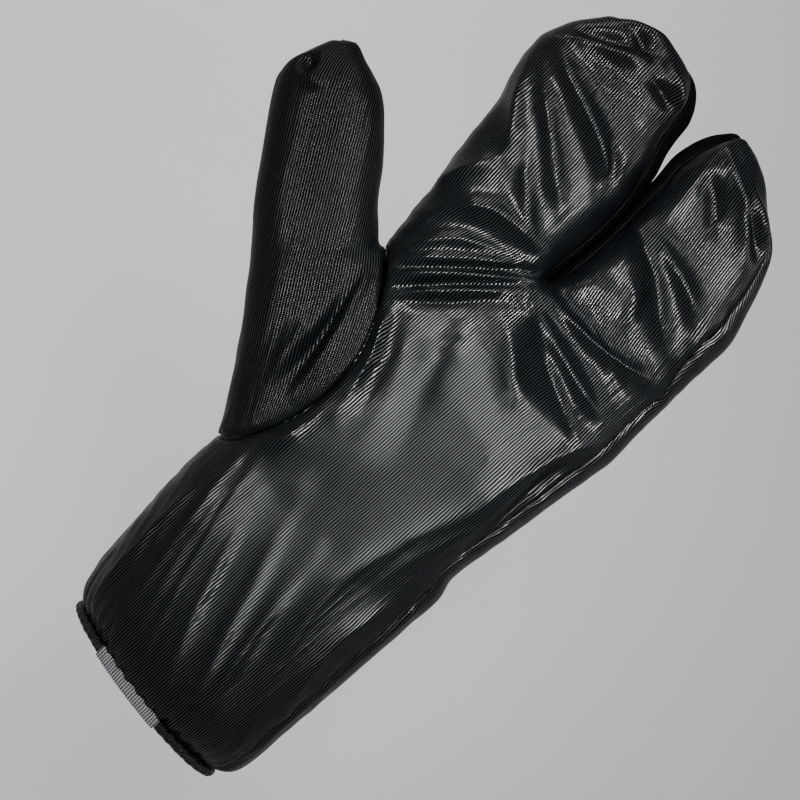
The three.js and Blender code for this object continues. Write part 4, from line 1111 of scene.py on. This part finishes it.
def stage():
    """A pale bowl, flat below the mitt and curving up all round."""
    profile = [(0.0, STAGE_FLOOR), (0.5 * STAGE_FLAT, STAGE_FLOOR)]
    for t in np.linspace(0, math.pi / 2, STAGE_BENDS):
        profile.append((STAGE_FLAT + STAGE_BEND * math.sin(t),
                        STAGE_FLOOR + STAGE_BEND * (1 - math.cos(t))))
    profile.append((STAGE_FLAT + STAGE_BEND, STAGE_FLOOR + STAGE_BEND + STAGE_WALL))
    rays = [(math.cos(t), math.sin(t)) for t in 2 * math.pi * np.arange(STAGE_TURNS) / STAGE_TURNS]
    points = [(r * c, r * s, z) for r, z in profile for c, s in rays]
    faces = []
    for low, k in product(range(len(profile) - 1), range(STAGE_TURNS)):
        a, b = low * STAGE_TURNS, (low + 1) * STAGE_TURNS
        after = (k + 1) % STAGE_TURNS
        faces.append((a + k, a + after, b + after, b + k))
    mesh = bpy.data.meshes.new("floor")
    mesh.from_pydata(points, [], faces)
    mesh.update()
    mesh.shade_smooth()
    material = bpy.data.materials.new("floor")
    material.use_nodes = True
    shader = material.node_tree.nodes["Principled BSDF"]
    shader.inputs["Base Color"].default_value = STAGE_COLOUR
    shader.inputs["Roughness"].default_value = STAGE_ROUGH
    mesh.materials.append(material)
    floor = bpy.data.objects.new("floor", mesh)
    bpy.context.scene.collection.objects.link(floor)


def camera():
    """The camera, square to the palm."""
    data = bpy.data.cameras.new("camera")
    data.lens = LENS
    data.sensor_width = SENSOR
    data.clip_start = NEAREST
    eye = bpy.data.objects.new("camera", data)
    bpy.context.scene.collection.objects.link(eye)
    distance = FRAME_WIDTH * LENS / SENSOR
    place = (np.array(FRAME_CENTRE) + CAMERA_BACK * distance) * MM
    turn = Matrix((CAMERA_RIGHT, CAMERA_UP, CAMERA_BACK)).transposed().to_4x4()
    eye.matrix_world = Matrix.Translation(place) @ turn
    bpy.context.scene.camera = eye


def along_picture(right, up, back):
    """A place in metres, from the frame's centre along the picture's axes."""
    return np.array(FRAME_CENTRE) * MM + CAMERA_RIGHT * right + CAMERA_UP * up + CAMERA_BACK * back


def light(name):
    """A soft square light."""
    lamp = LAMPS[name]
    data = bpy.data.lights.new(name, "AREA")
    data.shape = "SQUARE"
    data.size = lamp.size
    data.energy = lamp.power
    data.spread = lamp.spread
    place = along_picture(lamp.right, lamp.up, lamp.back)
    target = along_picture(*lamp.aim)
    facing = (place - target) / np.linalg.norm(place - target)
    side = np.cross(CAMERA_UP, facing)
    side /= np.linalg.norm(side)
    turn = Matrix((side, np.cross(facing, side), facing)).transposed().to_4x4()
    holder = bpy.data.objects.new(name, data)
    holder.matrix_world = Matrix.Translation(place) @ turn
    bpy.context.scene.collection.objects.link(holder)


def sky():
    """An even cool light from all round."""
    world = bpy.data.worlds.new("studio")
    world.use_nodes = True
    background = world.node_tree.nodes["Background"]
    background.inputs["Color"].default_value = SKY
    background.inputs["Strength"].default_value = SKY_POWER
    bpy.context.scene.world = world


camera()
sky()
for name in LAMPS:
    light(name)
stage()
shell = ribbed("shell_nylon")
thumb = ribbed("thumb_nylon")
Panel = namedtuple("Panel", "name cloth folds facing material node slot")
PANELS = [
    Panel("palm_cloth", hand_cloth(False), PALM_FOLDS, -1, shell, "palm_panel", "shell"),
    Panel("back_cloth", hand_cloth(True), BACK_FOLDS, 1, shell, "back_panel", "shell"),
    Panel("gusset_cloth", gusset_cloth(), [], -1, ribbed("gusset_nylon"), "finger_gusset", "side_cloth"),
    Panel("thumb_front_cloth", thumb_cloth(False), THUMB_FOLDS, -1, thumb, "thumb_front", "thumb_cloth"),
    Panel("thumb_back_cloth", thumb_cloth(True), [], 1, thumb, "thumb_back", "thumb_cloth"),
]
for panel in PANELS:
    joins = THUMB_JOINS if panel.slot == "thumb_cloth" else HAND_JOINS
    dressed = dress(*panel.cloth, panel.folds, panel.facing, panel.slot == "shell", joins)
    points, weave, faces = thicken(*dressed)
    make_piece(panel.name, points, faces, weave, panel.material, panel.node)
hem_roll(ribbed("hem_nylon"))
elastic_band(ribbed("hem_elastic"))
